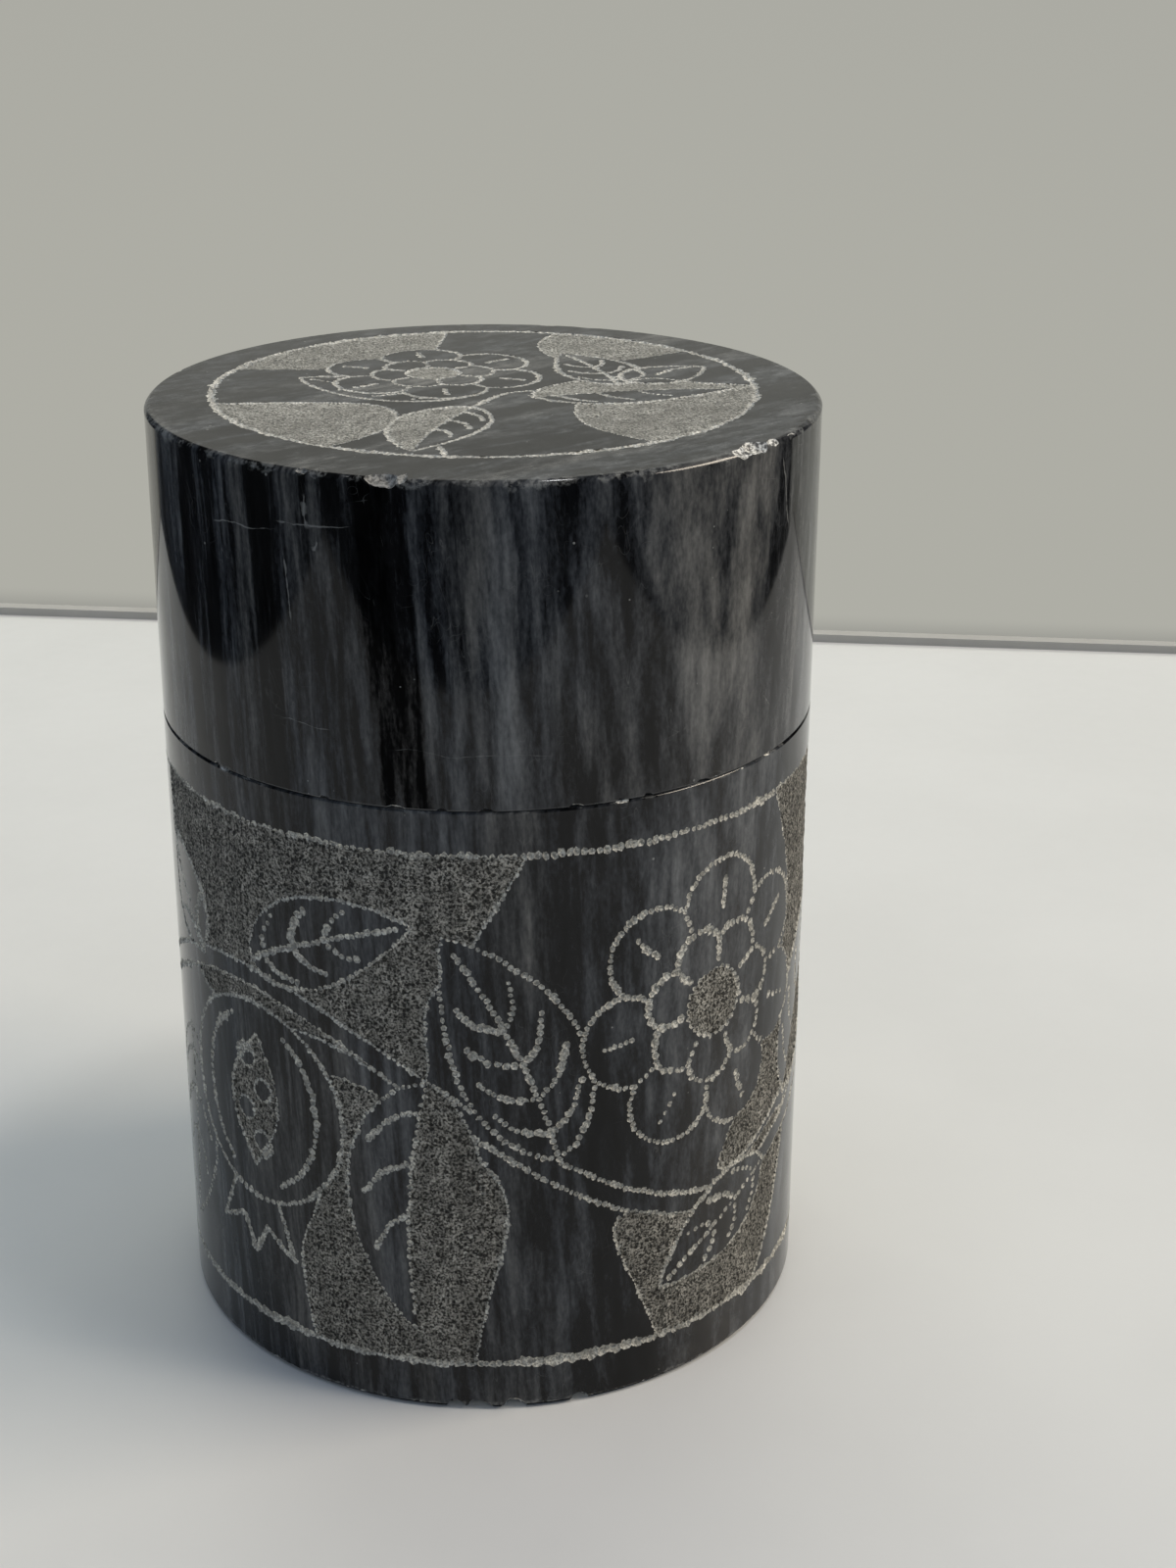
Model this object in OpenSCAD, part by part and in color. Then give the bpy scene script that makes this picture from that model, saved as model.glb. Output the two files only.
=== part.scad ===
// A turned marble pot with a deep lift-off lid. Pot and lid are each one piece of stone.
// The lid's skirt drops over a neck on the pot and rests on the pot's shoulder.
// The origin is the centre of the base, with +Z up.

/* [Pot] */
// Outside diameter of the pot and of the lid
body_d = 74; // [60:0.5:90]
// Height of the pot from the base to the shoulder that carries the lid
shoulder_h = 73; // [50:0.5:100]
// Thickness of the pot's side wall
wall = 8; // [7:0.5:12]
// Thickness of the pot's floor
floor_t = 9; // [6:0.5:15]
// Radius between the floor and the bore, left by the turning tool
floor_fillet = 4; // [1:0.5:8]
// Bevel round the underside, which keeps the base's edge off the table
base_bevel = 0.6; // [0.2:0.1:1.5]

/* [Neck] */
// Height of the neck above the shoulder
neck_h = 8; // [4:0.5:14]
// Thickness of the neck
neck_wall = 3.6; // [2.5:0.1:5]
// Bevel that leads the lid onto the neck
neck_bevel = 0.6; // [0.2:0.1:1.2]
// Small round in the corner between the shoulder and the neck
neck_root = 0.3; // [0.1:0.05:0.5]

/* [Lid] */
// Height of the lid
lid_h = 34.5; // [26:0.5:50]
// Thickness of the lid's top
lid_top_t = 8; // [5:0.5:12]
// Radius between the lid's top and its bore
lid_fillet = 5; // [1:0.5:8]
// Bevel round the top of the lid
lid_bevel = 0.35; // [0.1:0.05:1]
// Clearance all round between the neck and the lid's skirt
skirt_fit = 0.4; // [0.2:0.05:0.8]
// Gap left over the neck when the lid is down
headroom = 0.8; // [0.4:0.1:2]

/* [Seam] */
// Bevel on the two edges that meet at the seam
seam_bevel = 0.2; // [0.1:0.05:0.5]
// Bevel inside the mouth of the skirt
mouth_bevel = 0.6; // [0.3:0.1:1.2]

/* [Engraved borders] */
// Width of a border line
line_w = 0.8; // [0.5:0.05:1.2]
// Depth of a border line
line_depth = 0.25; // [0.1:0.05:0.4]
// Distance of the upper border below the shoulder
upper_border_drop = 5; // [3:0.5:12]
// Height of the lower border above the base
lower_border_h = 6.2; // [3:0.1:12]
// Distance from the lid's edge to the ring on its top
ring_inset = 7; // [5:0.5:12]
// How far the ring lies off the lid's centre, towards the back
ring_offset = 2.2; // [0:0.1:3]

/* [Hidden] */
$fn = 180;
// Overrun of every cut past the surface that it opens
over = 1;
body_r = body_d / 2;
bore_r = body_r - wall;
neck_r = bore_r + neck_wall;
skirt_r = neck_r + skirt_fit;
rim_h = shoulder_h + neck_h;
total_h = shoulder_h + lid_h;
skirt_depth = neck_h + headroom;
lid_ceiling_h = total_h - lid_top_t;
stone = [0.21, 0.22, 0.23];

// Half section of a plain turned blank, with a bevel of its own at the foot and at the top
module blank_section(r, foot_h, top_h, foot_bevel, top_bevel) {
    polygon([
        [0, foot_h],
        [r - foot_bevel, foot_h],
        [r, foot_h + foot_bevel],
        [r, top_h - top_bevel],
        [r - top_bevel, top_h],
        [0, top_h],
    ]);
}

// Half section of a bore with a round corner at its closed end, which is at z = 0
module bore_section(r, depth, fillet) {
    square([r - fillet, depth]);
    translate([0, fillet]) square([r, depth - fillet]);
    translate([r - fillet, fillet]) circle(r = fillet);
}

// Round bottom of an engraved line, which cuts line_w wide and line_depth deep where z or x is 0
module line_section() {
    arc_r = line_w * line_w / (8 * line_depth) + line_depth / 2;
    translate([arc_r - line_depth, 0]) circle(r = arc_r, $fn = 24);
}

// An engraved line round the side wall
module border_line(z) {
    translate([0, 0, z]) rotate_extrude() translate([body_r, 0]) line_section();
}

// The shoulder and neck: what is turned away from the blank above the shoulder
module shoulder_cut() {
    rotate_extrude() difference() {
        translate([neck_r, shoulder_h]) square([wall + over, neck_h + over]);
        // the root round stays on the pot
        difference() {
            translate([neck_r, shoulder_h]) square(neck_root);
            translate([neck_r + neck_root, shoulder_h + neck_root]) circle(r = neck_root, $fn = 48);
        }
    }
    rotate_extrude() polygon([
        [body_r - seam_bevel, shoulder_h],
        [body_r + over, shoulder_h],
        [body_r + over, shoulder_h - seam_bevel - over],
        [body_r, shoulder_h - seam_bevel],
    ]);
}

module pot() {
    color(stone) difference() {
        rotate_extrude() blank_section(body_r, 0, rim_h, base_bevel, 0);
        translate([0, 0, floor_t]) rotate_extrude() bore_section(bore_r, rim_h - floor_t + over, floor_fillet);
        shoulder_cut();
        // bevel on the outer edge of the neck
        rotate_extrude() polygon([
            [neck_r - neck_bevel, rim_h],
            [neck_r + over, rim_h + over],
            [neck_r + over, rim_h - neck_bevel],
            [neck_r, rim_h - neck_bevel],
        ]);
        border_line(shoulder_h - upper_border_drop);
        border_line(lower_border_h);
    }
}

module lid() {
    color(stone) difference() {
        rotate_extrude() blank_section(body_r, shoulder_h, total_h, seam_bevel, lid_bevel);
        translate([0, 0, lid_ceiling_h]) mirror([0, 0, 1])
            rotate_extrude() bore_section(bore_r, lid_ceiling_h - shoulder_h + over, lid_fillet);
        translate([0, 0, shoulder_h - over]) cylinder(r = skirt_r, h = skirt_depth + over);
        translate([0, 0, shoulder_h - over])
            cylinder(r1 = skirt_r + mouth_bevel + over, r2 = skirt_r, h = mouth_bevel + over);
        // the ring on the lid's top
        translate([0, ring_offset, total_h])
            rotate_extrude() translate([body_r - ring_inset, 0]) rotate([0, 0, 90]) line_section();
    }
}

pot();
lid();
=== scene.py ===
"""A turned marble pot with a deep lift-off lid, dressed for a studio picture.

The two stones are turned as meshes. A punch's marks, the ground between the drawn shapes and the chips along
the edges are then cut out of them, so that the engraving is real relief. Drawings are in millimetres, and
everything that stands in the scene is in metres.
"""

import logging
import math
from dataclasses import dataclass, field, replace
from enum import Enum
from random import Random
from typing import ClassVar, Optional, Sequence, Union

import bmesh
import bpy
import numpy as np
from bpy.types import Material, Mesh, Node, NodeSocket, NodeTree, Object
from mathutils import Matrix, Vector
from mathutils.geometry import delaunay_2d_cdt
from mathutils.kdtree import KDTree
from mathutils.noise import noise


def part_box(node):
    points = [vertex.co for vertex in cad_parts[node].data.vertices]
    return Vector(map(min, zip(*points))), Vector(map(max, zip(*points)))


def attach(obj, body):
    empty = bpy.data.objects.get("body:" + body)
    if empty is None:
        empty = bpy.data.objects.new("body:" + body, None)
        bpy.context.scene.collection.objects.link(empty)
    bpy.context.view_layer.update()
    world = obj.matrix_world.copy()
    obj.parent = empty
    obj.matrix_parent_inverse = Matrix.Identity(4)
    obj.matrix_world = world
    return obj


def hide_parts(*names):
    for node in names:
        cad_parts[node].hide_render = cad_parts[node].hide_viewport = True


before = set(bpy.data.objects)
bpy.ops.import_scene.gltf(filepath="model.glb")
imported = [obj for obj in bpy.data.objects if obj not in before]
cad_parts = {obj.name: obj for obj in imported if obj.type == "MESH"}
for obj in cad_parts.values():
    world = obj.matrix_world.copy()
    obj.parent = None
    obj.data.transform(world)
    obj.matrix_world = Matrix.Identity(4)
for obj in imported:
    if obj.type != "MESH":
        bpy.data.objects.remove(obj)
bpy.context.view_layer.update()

log = logging.getLogger("marble_pot")

MM = 0.001
TINY = 1e-9
FULL_TURN = 2 * math.pi
CREASE = math.radians(40)

# The stone's beds stand upright, turned about Z, and shift a little sideways for every step up
BED_TURN = math.radians(52)
BED_LEAN = 0.05

Point = tuple[float, float]
Path = list[Point]
Triangle = tuple[int, int, int]
Place = tuple[float, float, float]
Colour = tuple[float, float, float]
Feed = Union[NodeSocket, Node, bpy.types.ID, float, int, bool, str, tuple]
Feeds = dict[Union[str, int], Feed]


class Surface(Enum):
    """Which face of a turned piece a drawing lies on."""

    WALL = "wall"
    TOP = "top"


class Side(Enum):
    """One side of a leaf's midrib, or neither."""

    LEFT = -1
    NEITHER = 0
    RIGHT = 1


class Finish(Enum):
    """The finish of a face of the stone, with the number of its material slot."""

    POLISHED = 0
    HONED = 1
    STRUCK = 2
    GROUND = 3
    BROKEN = 4
    # Painted shade on the foot's bevel
    GRIMY = 5


# Drawing: u runs to the right along the surface and v up, both in millimetres


def closed(path: Path) -> Path:
    """Returns the path with its first point repeated at its end."""
    return path + path[:1]


def arc(centre: Point, radius: float, start: float, end: float, count: int = 16) -> Path:
    """Draws an arc.

    Args:
        centre: Centre of the arc.
        radius: Radius of the arc.
        start: Angle of its first point, in degrees.
        end: Angle of its last point, in degrees.
        count: Number of straight steps.

    Returns:
        The arc's points.
    """
    angles = [math.radians(start + (end - start) * k / count) for k in range(count + 1)]
    return [(centre[0] + radius * math.cos(a), centre[1] + radius * math.sin(a)) for a in angles]


def smooth(points: Sequence[Point], loop: bool = False, steps: int = 6) -> Path:
    """Draws a smooth curve through given points.

    Args:
        points: The points that the curve passes through.
        loop: Whether the curve closes on itself.
        steps: Straight steps between two of the points.

    Returns:
        The curve's points. A loop's first point isn't repeated.
    """
    n = len(points)
    path: Path = []
    for i in range(n if loop else n - 1):
        near = [points[(i + k - 1) % n if loop else min(max(i + k - 1, 0), n - 1)] for k in range(4)]
        for k in range(steps):
            t = k / steps
            weights = (
                0.5 * (-t + 2 * t**2 - t**3),
                0.5 * (2 - 5 * t**2 + 3 * t**3),
                0.5 * (t + 4 * t**2 - 3 * t**3),
                0.5 * (-(t**2) + t**3),
            )
            u = sum(w * p[0] for w, p in zip(weights, near))
            path.append((u, sum(w * p[1] for w, p in zip(weights, near))))
    return path if loop else path + [points[-1]]


def stepped(path: Path, step: float) -> Path:
    """Returns the path with points added, so that no step is longer than the one given."""
    points = [path[0]]
    for a, b in zip(path, path[1:]):
        n = max(1, math.ceil(math.dist(a, b) / step))
        points += [(a[0] + (b[0] - a[0]) * k / n, a[1] + (b[1] - a[1]) * k / n) for k in range(1, n + 1)]
    return points


def counterclockwise(path: Path) -> Path:
    """Returns the outline in the order that has its inside on the left."""
    area = sum(a[0] * b[1] - b[0] * a[1] for a, b in zip(path, path[1:] + path[:1]))
    return path if area > 0 else path[::-1]


def within(points: np.ndarray, outline: Path) -> np.ndarray:
    """Tells which points lie inside a closed outline.

    Args:
        points: Points as rows of two numbers.
        outline: The outline's points, with the first one not repeated.

    Returns:
        True for each point inside.
    """
    ring = np.array(outline)
    near = np.flatnonzero(((points >= ring.min(0)) & (points <= ring.max(0))).all(1))
    u, v = points[near].T
    odd = np.zeros(len(near), bool)
    for (u0, v0), (u1, v1) in zip(ring, np.roll(ring, -1, 0)):
        crosses = (v0 > v) != (v1 > v)
        if crosses.any():
            odd ^= crosses & (u < u0 + (v - v0) * (u1 - u0) / (v1 - v0))
    inside = np.zeros(len(points), bool)
    inside[near] = odd
    return inside


@dataclass
class Drawing:
    """One drawn thing: its outline, the areas pecked away inside it, what they leave, and its lines."""

    outline: Path = field(default_factory=list)
    pecked: list[Path] = field(default_factory=list)
    kept: list[Path] = field(default_factory=list)
    lines: list[Path] = field(default_factory=list)

    def placed(self, at: Point, turn: float = 0.0) -> "Drawing":
        """Returns a copy, turned by so many degrees and moved to a place."""
        c, s = math.cos(math.radians(turn)), math.sin(math.radians(turn))

        def moved(paths: list[Path]) -> list[Path]:
            """Turns and moves some paths."""
            return [[(at[0] + u * c - v * s, at[1] + u * s + v * c) for u, v in path] for path in paths]

        return Drawing(moved([self.outline])[0], moved(self.pecked), moved(self.kept), moved(self.lines))


@dataclass(frozen=True)
class Leaf:
    """A pointed leaf that grows up from the origin and bends sideways."""

    length: float
    width: float
    bend: float
    veins: int = 3
    pecked_side: Side = Side.NEITHER

    def spine(self, t: float) -> Point:
        """Returns the point of the midrib at a share t of the length."""
        return (self.bend * t * t, self.length * t)

    def edge(self, t: float, side: float) -> Point:
        """Returns the point of the edge beside a share t of the midrib, on side -1 or 1."""
        u, v = self.spine(t)
        half = 0.5 * self.width * math.sin(math.pi * t**0.78) ** 0.8
        return (u + side * half, v - side * half * 2 * self.bend * t / self.length)

    def vein(self, t: float, side: int) -> Path:
        """Draws the vein that leaves the midrib at a share t of its length, towards side -1 or 1."""
        u, v = self.spine(t)
        tip = self.edge(min(t + 0.2, 0.97), side)
        end = (u + 0.74 * (tip[0] - u), v + 0.74 * (tip[1] - v))
        bow = (0.5 * (u + end[0]) + 0.03 * side * self.width, 0.5 * (v + end[1]) - 0.025 * self.length)
        return smooth([(u, v), bow, end], steps=4)

    def drawn(self) -> Drawing:
        """Draws the outline, the midrib and the veins, and pecks one half if the leaf has a pecked side."""
        shares = [k / 24 for k in range(25)]
        outline = [self.edge(t, -1) for t in shares] + [self.edge(t, 1) for t in reversed(shares[1:-1])]
        lines = [closed(outline), [self.spine(0.92 * t) for t in shares]]
        for k in range(self.veins):
            t = 0.12 + 0.62 * k / self.veins
            lines += [self.vein(t, side) for side in (-1, 1) if side != self.pecked_side.value]
        pecked = []
        if self.pecked_side is not Side.NEITHER:
            side = self.pecked_side.value
            half = [self.edge(t, side) for t in reversed(shares[1:-1])]
            pecked.append([self.spine(t) for t in shares] + half)
        return Drawing(outline, pecked, [], lines)


@dataclass(frozen=True)
class Fruit:
    """A round fruit with a crown and a split that shows its seeds. Its stalk end is at the origin."""

    radius: float
    seeds: int = 4

    def split(self) -> Path:
        """Draws the lens-shaped split in the rind."""
        half, rise, n = 0.34 * self.radius, 0.66 * self.radius, 12
        foot = self.radius - rise
        right = [(half * math.sin(math.pi * k / n), foot + 2 * rise * k / n) for k in range(n + 1)]
        return right + [(-0.8 * u, v) for u, v in right[-2:0:-1]]

    def drawn(self) -> Drawing:
        """Draws the body with its crown, the ribs, and the pecked split with its seeds left standing."""
        r = self.radius
        half, rise, foot = 0.30 * r, 0.55 * r, 1.94 * r
        shoulder = math.degrees(math.acos(half / r))
        crown = [
            (1.7 * half, foot + rise),
            (0.55 * half, foot + 0.62 * rise),
            (0, foot + 1.25 * rise),
            (-0.55 * half, foot + 0.62 * rise),
            (-1.7 * half, foot + rise),
        ]
        outline = arc((0, r), r, 180 - shoulder, 360 + shoulder, 44) + crown
        split = self.split()
        seeds = []
        for i in range(self.seeds):
            at = (0.02 * r + 0.11 * r * (1 - 2 * (i % 2)), r + 0.27 * r * (i - 0.5 * (self.seeds - 1)))
            seeds.append(arc(at, 0.125 * r, 0, 360, 10)[:-1])
        rim = arc((0, r), r, shoulder, 180 - shoulder, 6)
        ribs = [[(s * 0.72 * u, r + 0.86 * (v - r)) for u, v in arc((0, r), r, -62, 62, 10)] for s in (-1, 1)]
        lines = [closed(outline), rim, closed(split), *ribs, *map(closed, seeds)]
        return Drawing(outline, [split], seeds, lines)


@dataclass(frozen=True)
class Blossom:
    """An open flower seen from the front, centred on the origin."""

    radius: float
    petals: int

    def lobed(self, share: float, depth: float, turn: float) -> Path:
        """Draws a ring of round petals, at a share of the radius, cut in between them by a share in depth."""
        steps = 10
        path: Path = []
        for k in range(self.petals * steps):
            swell = abs(math.sin(math.pi * k / steps)) ** 0.7
            r = share * self.radius * (1 - depth + depth * swell)
            a = FULL_TURN * k / (self.petals * steps) + turn
            path.append((r * math.cos(a), r * math.sin(a)))
        return path

    def ray(self, turn: float, start: float, end: float) -> Path:
        """Draws a short straight line outwards between two shares of the radius."""
        return [(t * self.radius * math.cos(turn), t * self.radius * math.sin(turn)) for t in (start, end)]

    def drawn(self) -> Drawing:
        """Draws two rings of petals round a pecked heart."""
        half = math.pi / self.petals
        outer, inner = self.lobed(1.0, 0.24, 0.0), self.lobed(0.56, 0.2, half)
        heart = arc((0, 0), 0.23 * self.radius, 0, 360, 20)[:-1]
        lines = [closed(outer), closed(inner), closed(heart)]
        for k in range(self.petals):
            lines.append(self.ray(2 * half * k, 0.56, 0.76))
            lines.append(self.ray(2 * half * k + half, 0.66, 0.86))
            lines.append(self.ray(2 * half * k + half, 0.30, 0.43))
        return Drawing(outer, [heart], [], lines)


@dataclass(frozen=True)
class Bud:
    """A closed flower between two sepals, growing up from the origin."""

    length: float
    width: float

    def drawn(self) -> Drawing:
        """Draws the outline, the fold of the petals and the two sepals."""
        w, high, n = self.width, self.length, 12
        side = [(0.5 * w * math.sin(math.pi * (k / n) ** 0.75) ** 0.85, high * k / n) for k in range(n + 1)]
        outline = [(-u, v) for u, v in side] + side[-2:0:-1]
        lines = [closed(outline), smooth([(0, high), (-0.14 * w, 0.7 * high), (-0.02 * w, 0.42 * high)])]
        for s in (-1, 1):
            lines.append(smooth([(0, 0), (0.12 * s * w, 0.3 * high), (0.49 * s * w, 0.42 * high)]))
        return Drawing(outline, [], [], lines)


@dataclass(frozen=True)
class Stroke:
    """A punched line, with the size and the spacing of its marks as shares of the punch's own."""

    path: Path
    weight: float = 1.0
    spacing: float = 1.0


class Composition:
    """Shapes and lines in the order in which they cover each other."""

    hiding_step: ClassVar[float] = 0.4
    clearance: ClassVar[float] = 0.55
    weights: ClassVar[Point] = (0.88, 1.06)
    spacings: ClassVar[Point] = (0.78, 1.32)
    ground_line: ClassVar[Point] = (0.86, 0.86)

    def __init__(self, seed: int) -> None:
        """Starts with a bare surface and a hand whose strokes vary by a seed."""
        self.shapes: list[tuple[Path, bool]] = []
        self.strokes: list[Stroke] = []
        self.hand = Random(seed)

    def hide_under(self, outline: Path) -> None:
        """Takes away what earlier lines would show inside an outline."""
        shown: list[Stroke] = []
        for stroke in self.strokes:
            points = stepped(stroke.path, self.hiding_step)
            covered = within(np.array(points), outline)
            if not covered.any():
                shown.append(stroke)
                continue
            run: Path = []
            for point, hidden in zip(points + points[-1:], [*covered, True]):
                if hidden:
                    shown += [replace(stroke, path=run)] if len(run) > 2 else []
                    run = []
                else:
                    run.append(point)
        self.strokes = shown

    def strike(self, path: Path, weight: float = 1.0, spacing: float = 1.0) -> None:
        """Adds one line of marks."""
        self.strokes.append(Stroke(path, weight, spacing))

    def add(self, drawing: Drawing) -> None:
        """Lays a drawing over what is there."""
        if drawing.outline:
            self.hide_under(drawing.outline)
            self.shapes.append((drawing.outline, False))
        self.shapes += [(path, True) for path in drawing.pecked]
        self.shapes += [(path, False) for path in drawing.kept]
        for line in drawing.lines:
            self.strike(line, self.hand.uniform(*self.weights), self.hand.uniform(*self.spacings))

    def add_ground(self, points: Sequence[Point]) -> None:
        """Lays an area of pecked ground, bounded by a smooth line through the points."""
        path = smooth(points, loop=True)
        self.shapes.append((path, True))
        self.strike(closed(path), *self.ground_line)

    def clear(self, outline: Path) -> None:
        """Leaves the surface bare inside an outline, and draws no line round it."""
        self.add(Drawing(outline))

    def line_mesh(self, name: str) -> Mesh:
        """Returns the strokes as flat edges in metres, with "weight" and "spacing" attributes."""
        verts: list[Place] = []
        edges: list[tuple[int, int]] = []
        weights: list[float] = []
        spacings: list[float] = []
        for stroke in self.strokes:
            line = stroke.path
            loop = len(line) > 2 and math.dist(line[0], line[-1]) < TINY
            points = line[:-1] if loop else line
            first = len(verts)
            verts += [(u * MM, v * MM, 0.0) for u, v in points]
            edges += [(first + k, first + k + 1) for k in range(len(points) - 1)]
            edges += [(len(verts) - 1, first)] if loop else []
            weights += [stroke.weight] * len(points)
            spacings += [stroke.spacing] * len(points)
        mesh = new_mesh(name, verts, edges=edges)
        mesh.attributes.new("weight", "FLOAT", "POINT").data.foreach_set("value", weights)
        mesh.attributes.new("spacing", "FLOAT", "POINT").data.foreach_set("value", spacings)
        return mesh

    def pecked_triangles(self, spacing: float, seed: int) -> tuple[Path, list[Triangle]]:
        """Fills the areas whose topmost shape is pecked with even triangles.

        Args:
            spacing: Distance between neighbouring points.
            seed: Seed of the small unevenness in the points' places.

        Returns:
            The points, and the triangles as their numbers.
        """
        rings = [counterclockwise(stepped(closed(path), spacing)[:-1]) for path, _ in self.shapes]
        pecked = [is_pecked for _, is_pecked in self.shapes]
        ground = np.array([p for ring, cut in zip(rings, pecked) if cut for p in ring])
        lattice = lattice_points(ground.min(0), ground.max(0), spacing, seed)
        on_top = np.zeros(len(lattice), bool)
        for ring, cut in zip(rings, pecked):
            on_top[within(lattice, ring)] = cut
        border = [p for ring in rings for p in ring]
        inner = points_clear_of(border, lattice[on_top].tolist(), self.clearance * spacing)
        faces, first = [], 0
        for ring in rings:
            faces.append(list(range(first, first + len(ring))))
            first += len(ring)
        verts = [Vector(p) for p in border + inner]
        points, _, made, _, _, sources = delaunay_2d_cdt(verts, [], faces, 1, 1e-5)
        chosen = [tuple(tri) for tri, under in zip(made, sources) if under and pecked[max(under)]]
        return [(p.x, p.y) for p in points], chosen


def new_mesh(
    name: str,
    verts: Sequence[Place],
    faces: Sequence[Sequence[int]] = (),
    edges: Sequence[tuple[int, int]] = (),
) -> Mesh:
    """Returns a new mesh.

    Args:
        name: Name of the mesh.
        verts: Its points, in metres.
        faces: Its faces as point numbers.
        edges: Its loose edges as point numbers.

    Returns:
        The mesh.
    """
    mesh = bpy.data.meshes.new(name)
    mesh.from_pydata(verts, edges, faces)
    return mesh


def lattice_points(low: Sequence[float], high: Sequence[float], spacing: float, seed: int) -> np.ndarray:
    """Returns slightly uneven points of a triangular lattice between two corners."""
    rows = np.arange(low[1], high[1], spacing * math.sqrt(0.75))
    u, v = np.meshgrid(np.arange(low[0], high[0], spacing), rows)
    u = u + 0.5 * spacing * (np.arange(len(rows)) % 2)[:, None]
    shift = np.random.default_rng(seed).uniform(-0.2, 0.2, (u.size, 2)) * spacing
    return np.stack([u.ravel(), v.ravel()], 1) + shift


def points_clear_of(border: Path, points: Path, distance: float) -> Path:
    """Returns the points that lie further than a distance from every border point."""
    tree = KDTree(len(border))
    for i, (u, v) in enumerate(border):
        tree.insert((u, v, 0), i)
    tree.balance()
    return [p for p in points if tree.find((p[0], p[1], 0))[2] > distance]


def fan_numbers(triangles: list[Triangle]) -> tuple[dict[tuple[int, int], int], list[int]]:
    """Numbers corners anew, so that triangles share one only where edges join them round it.

    Args:
        triangles: Counterclockwise triangles as point numbers.

    Returns:
        The new number for each pair of a triangle and one of its points, and the old point of each
        new number.
    """
    across = {(a, b): t for t, tri in enumerate(triangles) for a, b in zip(tri, tri[1:] + tri[:1])}
    numbers: dict[tuple[int, int], int] = {}
    sources: list[int] = []
    for t, tri in enumerate(triangles):
        for point in tri:
            if (t, point) in numbers:
                continue
            waiting = [t]
            while waiting:
                here = waiting.pop()
                if (here, point) in numbers:
                    continue
                numbers[here, point] = len(sources)
                corner = triangles[here].index(point)
                after, before = triangles[here][(corner + 1) % 3], triangles[here][(corner + 2) % 3]
                waiting += [across[edge] for edge in ((after, point), (point, before)) if edge in across]
            sources.append(point)
    return numbers, sources


def slab_mesh(name: str, points: Path, triangles: list[Triangle]) -> Mesh:
    """Closes flat triangles into slabs between -1 mm and 1 mm, parted where they meet at one point only.

    Args:
        name: Name of the mesh.
        points: The points, in millimetres.
        triangles: Counterclockwise triangles as point numbers.

    Returns:
        The mesh, in metres.
    """
    numbers, sources = fan_numbers(triangles)
    tris = [tuple(numbers[t, point] for point in tri) for t, tri in enumerate(triangles)]
    sides = {(a, b) for tri in tris for a, b in zip(tri, tri[1:] + tri[:1])}
    count = len(sources)
    verts = [(points[p][0] * MM, points[p][1] * MM, level) for level in (-MM, MM) for p in sources]
    faces = [tri[::-1] for tri in tris] + [tuple(count + i for i in tri) for tri in tris]
    faces += [(a, b, count + b, count + a) for a, b in sorted(sides) if (b, a) not in sides]
    return new_mesh(name, verts, faces)


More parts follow.
